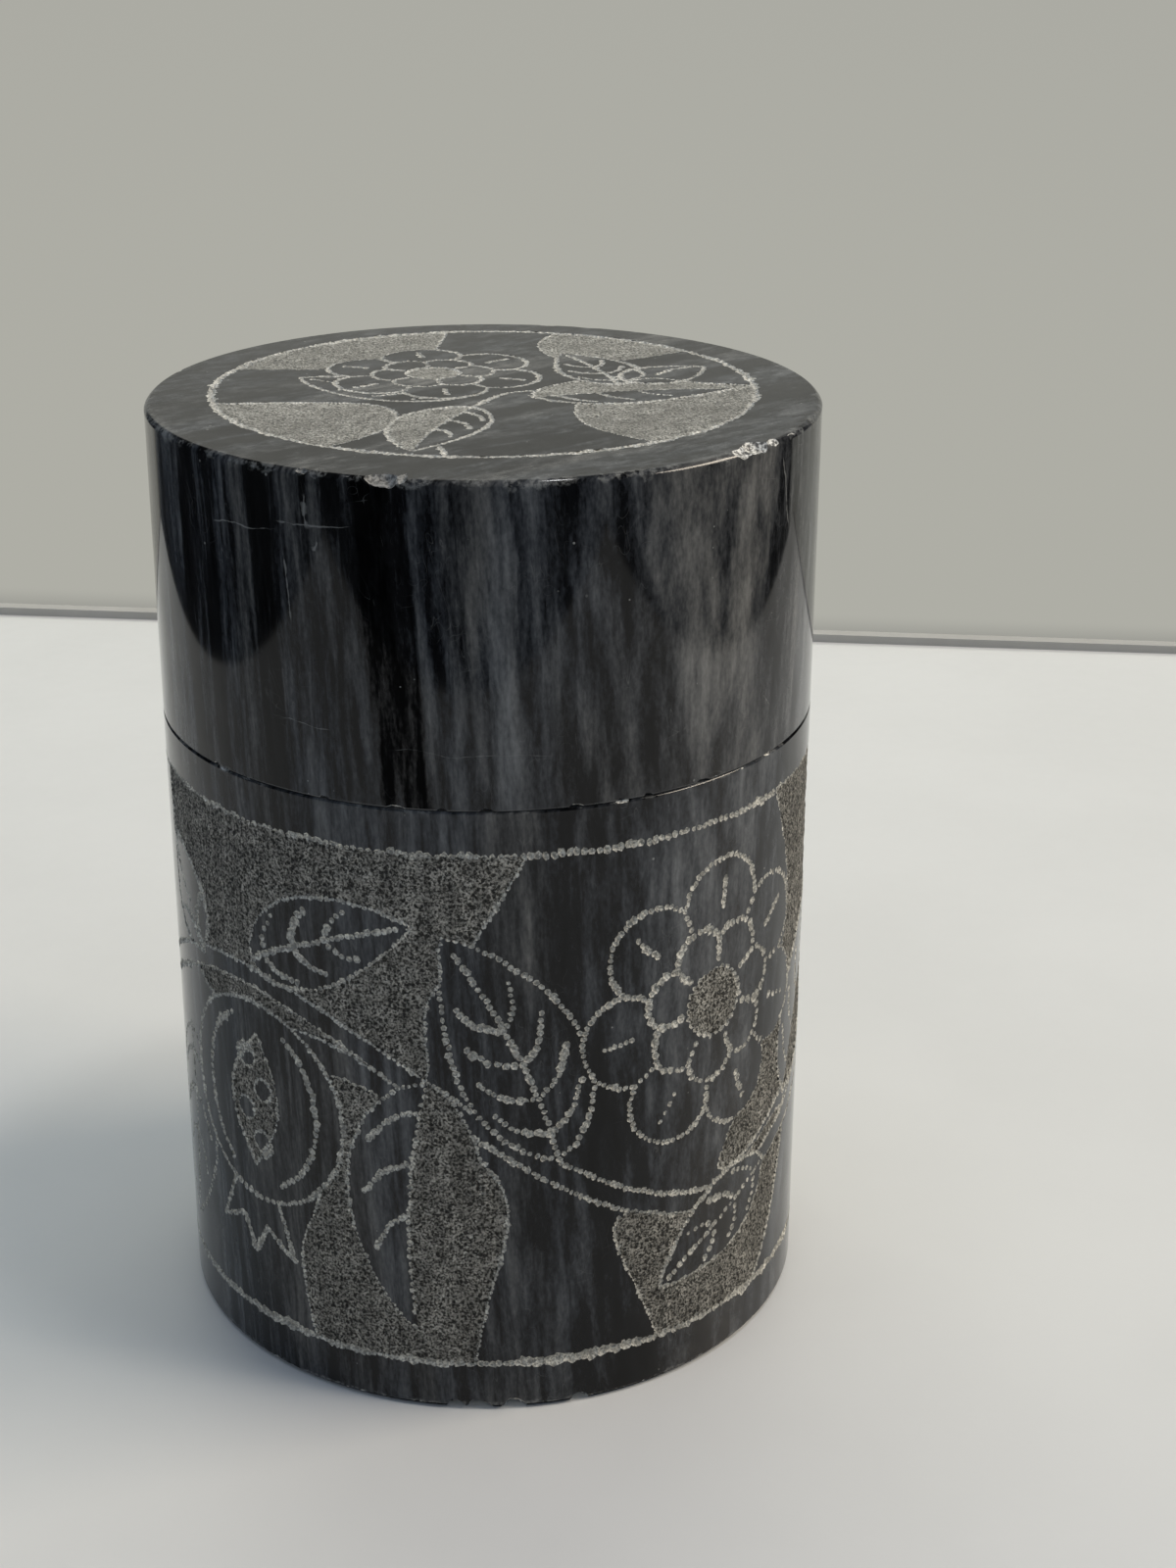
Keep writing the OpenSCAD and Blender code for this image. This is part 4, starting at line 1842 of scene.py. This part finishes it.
@dataclass
class Lid:
    """The upper stone: a deep plain skirt and an engraved top."""

    skirt_radius: float = 33.0 * MM
    bore_radius: float = 29.0 * MM
    skirt_depth: float = 8.8 * MM
    top_thickness: float = 8.0 * MM
    bore_round: float = 5.0 * MM
    top_round: float = 0.55 * MM
    seam_round: float = 0.25 * MM
    mouth_round: float = 0.7 * MM
    ring: float = 30.0
    ring_offset: float = 2.2
    punch: Punch = Punch(
        pitch=0.48 * MM,
        mark_width=0.78 * MM,
        mark_depth=0.20 * MM,
        wobble=0.07 * MM,
        ground_depth=0.08 * MM,
        grain=0.04 * MM,
        grain_spacing=0.6,
        seed=23,
    )
    struck: PeckedMarble = PeckedMarble((0.34, 0.335, 0.30), (0.86, 0.84, 0.76))
    ground: PeckedMarble = PeckedMarble((0.14, 0.138, 0.122), (0.56, 0.545, 0.485))
    radius: float = field(init=False)
    foot: float = field(init=False)
    top: float = field(init=False)

    def __post_init__(self) -> None:
        """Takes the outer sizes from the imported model."""
        low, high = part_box("lid")
        self.radius, self.foot, self.top = high[0], low[2], high[2]

    def corners(self) -> list[Corner]:
        """Returns the half section, from the bore's end, round the mouth and the outside, to the top."""
        honed = Finish.HONED
        ledge, ceiling = self.foot + self.skirt_depth, self.top - self.top_thickness
        return [
            Corner(0, ceiling, 0, honed),
            Corner(self.bore_radius, ceiling, self.bore_round, honed),
            Corner(self.bore_radius, ledge, self.seam_round, honed),
            Corner(self.skirt_radius, ledge, self.seam_round, honed),
            Corner(self.skirt_radius, self.foot, self.mouth_round, honed),
            Corner(self.radius, self.foot, self.seam_round),
            Corner(self.radius, self.top, self.top_round),
            Corner(0, self.top),
        ]

    def edges(self) -> tuple[Edge, ...]:
        """Returns the outer edges with their chips."""
        top = (
            Chip(-10.2, 3.6, 1.2, 1.7),
            Chip(-9.0, 3.4, 1.6, 4.6),
            Chip(-18.9, 1.6, 0.45, 0.7),
            Chip(-14.2, 3.0, 0.3, 0.4),
            Chip(13.2, 2.0, 0.3, 0.4),
            Chip(28.8, 3.8, 1.3, 2.9),
            Chip(31.4, 3.6, 1.1, 1.9),
            Chip(34.2, 2.6, 0.6, 0.8),
            Chip(38.0, 3.6, 0.4, 0.4),
            Chip(103, 5.5, 0.8, 0.8),
            Chip(108, 3.5, 0.6, 1.0),
            Chip(-70, 2.4, 0.5, 0.7),
        )
        seam = (
            Chip(-33, 1.9, 0.6, 1.1),
            Chip(-17.5, 2.0, 0.6, 1.0),
            Chip(-9.6, 3.2, 0.7, 1.3),
            Chip(-4.8, 1.5, 0.6, 1.0),
            Chip(-0.2, 2.0, 0.7, 1.2),
            Chip(9, 2.6, 0.7, 1.3),
            Chip(14, 1.8, 0.6, 1.1),
            Chip(17, 1.5, 0.6, 1.0),
            Chip(24, 2.4, 0.6, 1.0),
            Chip(35, 2.0, 0.4, 0.7),
            Chip(-55, 3.0, 0.5, 0.7),
        )
        return (Edge(self.radius, self.top, True, top, 34), Edge(self.radius, self.foot, False, seam, 36))

    def block(self) -> Block:
        """Returns the block that the lid is cut from."""
        veins = (
            Hairline(-26.8, 100.7, 2, 4.9, 0.09),
            Hairline(-17.8, 101.9, 4, 4.6, 0.10),
            Hairline(-18.5, 103.4, 98, 1.9, 0.3),
            Hairline(-17.6, 100.0, 60, 0.6, 0.5),
            Hairline(-21.0, 95.2, 94, 3.8, 0.14),
            Hairline(-20.0, 81.0, -3, 3.8, 0.05),
            Hairline(-2.0, 79.2, -3, 8.8, 0.03),
            Hairline(37.0, 101.6, 104, 4.4, 0.12),
            Hairline(34.1, 79.5, -40, 1.1, 0.12),
        )
        beds = (
            Bed(-7.6, 5.6, 0.15),
            Bed(-2.6, 3.6, -0.15),
            Bed(1.2, 2.6, -0.17),
            Bed(5.3, 4.6, 0.08),
            Bed(9.3, 3.0, -0.17),
            Bed(13.2, 3.8, 0.06),
            Bed(18.6, 3.4, -0.06),
            Bed(21.8, 4.0, -0.18),
            Bed(25.4, 1.8, -0.05),
            Bed(29.4, 4.2, 0.11),
            Bed(32.6, 3.0, 0.05),
            Bed(36.8, 1.5, 0.15),
        )
        top = self.top / MM
        return Block(
            shift=(31.0, 17.0, 8.0),
            tone=0.488,
            level=99.0,
            top=top,
            beds=beds,
            radius=self.radius / MM,
            edges=((top, 1.25), (self.foot / MM, 0.35)),
            veins=veins,
            dull_beds=(Bed(21.9, 5.2, 0.9),),
        )

    def build(self, lathe: Lathe, effects: Effects) -> Object:
        """Turns and carves the stone.

        Args:
            lathe: Turns the blank.
            effects: The shader groups for its finishes.

        Returns:
            The finished stone.
        """
        design = LidDesign(self.ring, self.ring_offset).composed()
        materials = stone_materials("lid", effects, self.block(), self.struck, self.ground)
        carving = Carving(Surface.TOP, self.radius, self.top, design, self.edges(), self.punch, materials)
        piece = carving.carve(lathe.turned("lid blank", self.corners()), "marble_lid")
        shade(piece.data)
        return piece

    def dress(self, piece: Object) -> None:
        """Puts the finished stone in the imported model's place."""
        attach(piece, "lid")
        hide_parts("lid")


# Studio


@dataclass(frozen=True)
class Lamp:
    """A soft lamp that faces its aim, in metres and watts. Polished stone need not mirror it."""

    name: str
    place: Place
    size: Point
    power: float
    colour: Colour
    mirrored: bool = True
    aim: Place = (0.0, 0.0, 0.05)

    def build(self) -> Object:
        """Builds the lamp."""
        light = bpy.data.lights.new(self.name, "AREA")
        light.shape = "RECTANGLE"
        light.size, light.size_y = self.size
        light.energy, light.color = self.power, self.colour
        lamp = stand(light)
        lamp.visible_glossy = self.mirrored
        turn = (Vector(self.aim) - Vector(self.place)).to_track_quat("-Z", "Y").to_matrix().to_4x4()
        lamp.matrix_world = Matrix.Translation(self.place) @ turn
        return lamp


@dataclass(frozen=True)
class Studio:
    """The table, the light and the camera, in metres."""

    table_low: Point = (-0.266, -0.27)
    table_high: Point = (0.277, 0.2335)
    table_thickness: float = 0.02
    table_turn: float = math.radians(-7.64)
    shadow_line_height: float = 1.7 * MM
    shadow_line_width: float = 3.0 * MM
    camera_place: Place = (0.0, -0.26410, 0.16939)
    camera_forward: Place = (0.04037, 0.92413, -0.37993)
    camera_up: Place = (0.01229, 0.37976, 0.92500)
    lens: float = 55.9
    wall_low: Colour = (0.425, 0.422, 0.378)
    wall_high: Colour = (0.375, 0.375, 0.345)
    wall_shade: Colour = (0.76, 0.76, 0.77)
    dark_room: Colour = (0.012, 0.013, 0.015)
    fill: Colour = (0.285, 0.335, 0.42)
    panel_left: Point = (-0.52, -0.40)
    panel_right: Point = (0.76, 0.88)
    panel_flares: Point = (0.24, 0.6)
    lamps: tuple[Lamp, ...] = (
        Lamp("window", (1.86, -0.10, 1.50), (1.3, 0.5), 38.0, (1.0, 0.875, 0.72)),
        Lamp("overhead lamp", (0.17, -0.10, 0.79), (0.07, 0.07), 0.7, (1.0, 1.0, 1.0)),
        Lamp("back lamp", (0.0, 0.70, 0.50), (1.0, 0.15), 2.15, (1.0, 1.0, 0.84), False),
        Lamp("left back lamp", (-0.45, 0.60, 0.48), (0.4, 0.15), 0.5, (1.0, 1.0, 0.84), False),
    )

    def build_slab(self, name: str, low: Place, high: Place, material: Material) -> Object:
        """Builds a straight slab between two corners, turned with the table.

        Args:
            name: Name of the slab.
            low: Its lowest corner before the turn, in metres.
            high: Its highest corner before the turn, in metres.
            material: Its material.

        Returns:
            The slab, which isn't part of the pot.
        """
        shape = bmesh.new()
        bmesh.ops.create_cube(shape, size=1.0)
        corners = Vector(low), Vector(high)
        middle = Matrix.Translation(0.5 * (corners[0] + corners[1]))
        turn = Matrix.Rotation(self.table_turn, 4, "Z")
        shape.transform(turn @ middle @ Matrix.Diagonal((*(corners[1] - corners[0]), 1.0)))
        mesh = bpy.data.meshes.new(name)
        shape.to_mesh(mesh)
        shape.free()
        mesh.materials.append(material)
        slab = stand(mesh)
        return slab

    def build_table(self) -> None:
        """Builds the pale table top, and a grey strip along its back edge as painted shadow."""
        (left, front), (right, back) = self.table_low, self.table_high
        low, high = (left, front, -self.table_thickness), (right, back, 0.0)
        self.build_slab("table", low, high, self.table_material())
        # A grey strip where the table meets the wall: painted shade for the shadow line at the wall's foot
        low, high = (left, back, 0.0), (right, back + self.shadow_line_width, self.shadow_line_height)
        self.build_slab("seal", low, high, self.shadow_line_material())

    def shadow_line_material(self) -> Material:
        """Builds grey-brown painted shadow for the foot of the wall, a little uneven in colour."""
        s = MaterialSketch("grey sealant")
        s.surface(s.mix(s.noise(s.place, 0.1, 3.0), (0.37, 0.36, 0.33), (0.46, 0.45, 0.42)), 0.7)
        return s.material

    def table_material(self) -> Material:
        """Builds a plain off-white satin laminate."""
        s = MaterialSketch("off-white laminate")
        cloud = s.ramp(s.noise(s.place, 0.02, 4.0), 0.3, 0.7)
        rough = s.ramp(s.noise(s.place, 0.3, 3.0), 0.3, 0.7, 0.36, 0.46)
        s.surface(s.mix(cloud, (0.68, 0.68, 0.655), (0.71, 0.71, 0.685)), rough)
        s.bump(s.noise(s.place, 1.1, 3.0), 0.02 * MM, 0.5)
        return s.material

    def back_edge_plane(self) -> Vector:
        """Returns the upward normal of the plane through the camera and the table's back edge."""
        turn = Matrix.Rotation(self.table_turn, 3, "Z")
        eye, back = Vector(self.camera_place), self.table_high[1]
        left = turn @ Vector((self.table_low[0], back, 0.0)) - eye
        right = turn @ Vector((self.table_high[0], back, 0.0)) - eye
        return right.cross(left).normalized()

    def build_world(self) -> None:
        """Builds the room: a wall for the eye, a panel of it for reflections, and soft fill for the rest."""
        world = bpy.data.worlds.new("room")
        world.use_nodes = True
        world.node_tree.nodes.clear()
        bpy.context.scene.world = world
        s = Sketch(world.node_tree)
        ray = s.add("ShaderNodeLightPath")
        ahead = s.add("ShaderNodeTexCoord").outputs["Generated"]
        x, y, z = s.parts(ahead)
        wall = s.mix(s.ramp(z, -0.3, 0.3), self.wall_low, self.wall_high)
        rise = s.math("ABSOLUTE", s.vector("DOT_PRODUCT", ahead, tuple(self.back_edge_plane())))
        shade = s.mix(s.ramp(rise, 0.002, 0.012), self.wall_shade, (1.0, 1.0, 1.0))
        seen = s.add("ShaderNodeBackground", {"Color": s.mix(1.0, wall, shade, "MULTIPLY")})
        slant = s.over(x, s.math("MAXIMUM", y, 0.05))
        low = s.ramp(z, -0.2, 0.1, 1.0, 0.0)
        left = s.ramp(s.plus(slant, s.times(low, self.panel_flares[0])), *self.panel_left)
        right = s.ramp(s.minus(slant, s.times(low, self.panel_flares[1])), *self.panel_right, 1.0, 0.0)
        panel = s.times(s.times(left, right), s.ramp(y, 0.1, 0.25))
        mirrored = s.add("ShaderNodeBackground", {"Color": s.mix(panel, self.dark_room, wall)})
        fill = s.add("ShaderNodeBackground", {"Color": rgba(self.fill)})
        other = s.add("ShaderNodeMixShader", {0: ray.outputs["Is Glossy Ray"], 1: fill, 2: mirrored})
        result = s.add("ShaderNodeMixShader", {0: ray.outputs["Is Camera Ray"], 1: other, 2: seen})
        s.add("ShaderNodeOutputWorld", {"Surface": result})

    def build_camera(self) -> Object:
        """Builds the camera and makes it the scene's."""
        back = -Vector(self.camera_forward).normalized()
        right = Vector(self.camera_up).cross(back).normalized()
        up = back.cross(right)
        camera = stand(bpy.data.cameras.new("camera"))
        turn = Matrix((right, up, back)).transposed().to_4x4()
        camera.matrix_world = Matrix.Translation(self.camera_place) @ turn
        camera.data.lens, camera.data.clip_start = self.lens, 0.01
        bpy.context.scene.camera = camera
        return camera

    def build(self) -> None:
        """Builds the whole studio."""
        self.build_camera()
        self.build_table()
        self.build_world()
        for lamp in self.lamps:
            lamp.build()
        bpy.context.scene.view_settings.view_transform = "Standard"


def triangle_count(mesh: Mesh) -> int:
    """Returns how many triangles a mesh makes."""
    return sum(len(polygon.vertices) - 2 for polygon in mesh.polygons)


def main() -> None:
    """Builds the studio and the two stones, and reports each piece."""
    logging.basicConfig(level=logging.INFO, format="%(name)s: %(message)s")
    Studio().build()
    effects, lathe = Effects(), Lathe()
    lid = Lid()
    for stone in (Pot(lid.foot), lid):
        piece = stone.build(lathe, effects)
        stone.dress(piece)
        log.info("%s: %d triangles", piece.name, triangle_count(piece.data))


if __name__ == "__main__":
    main()
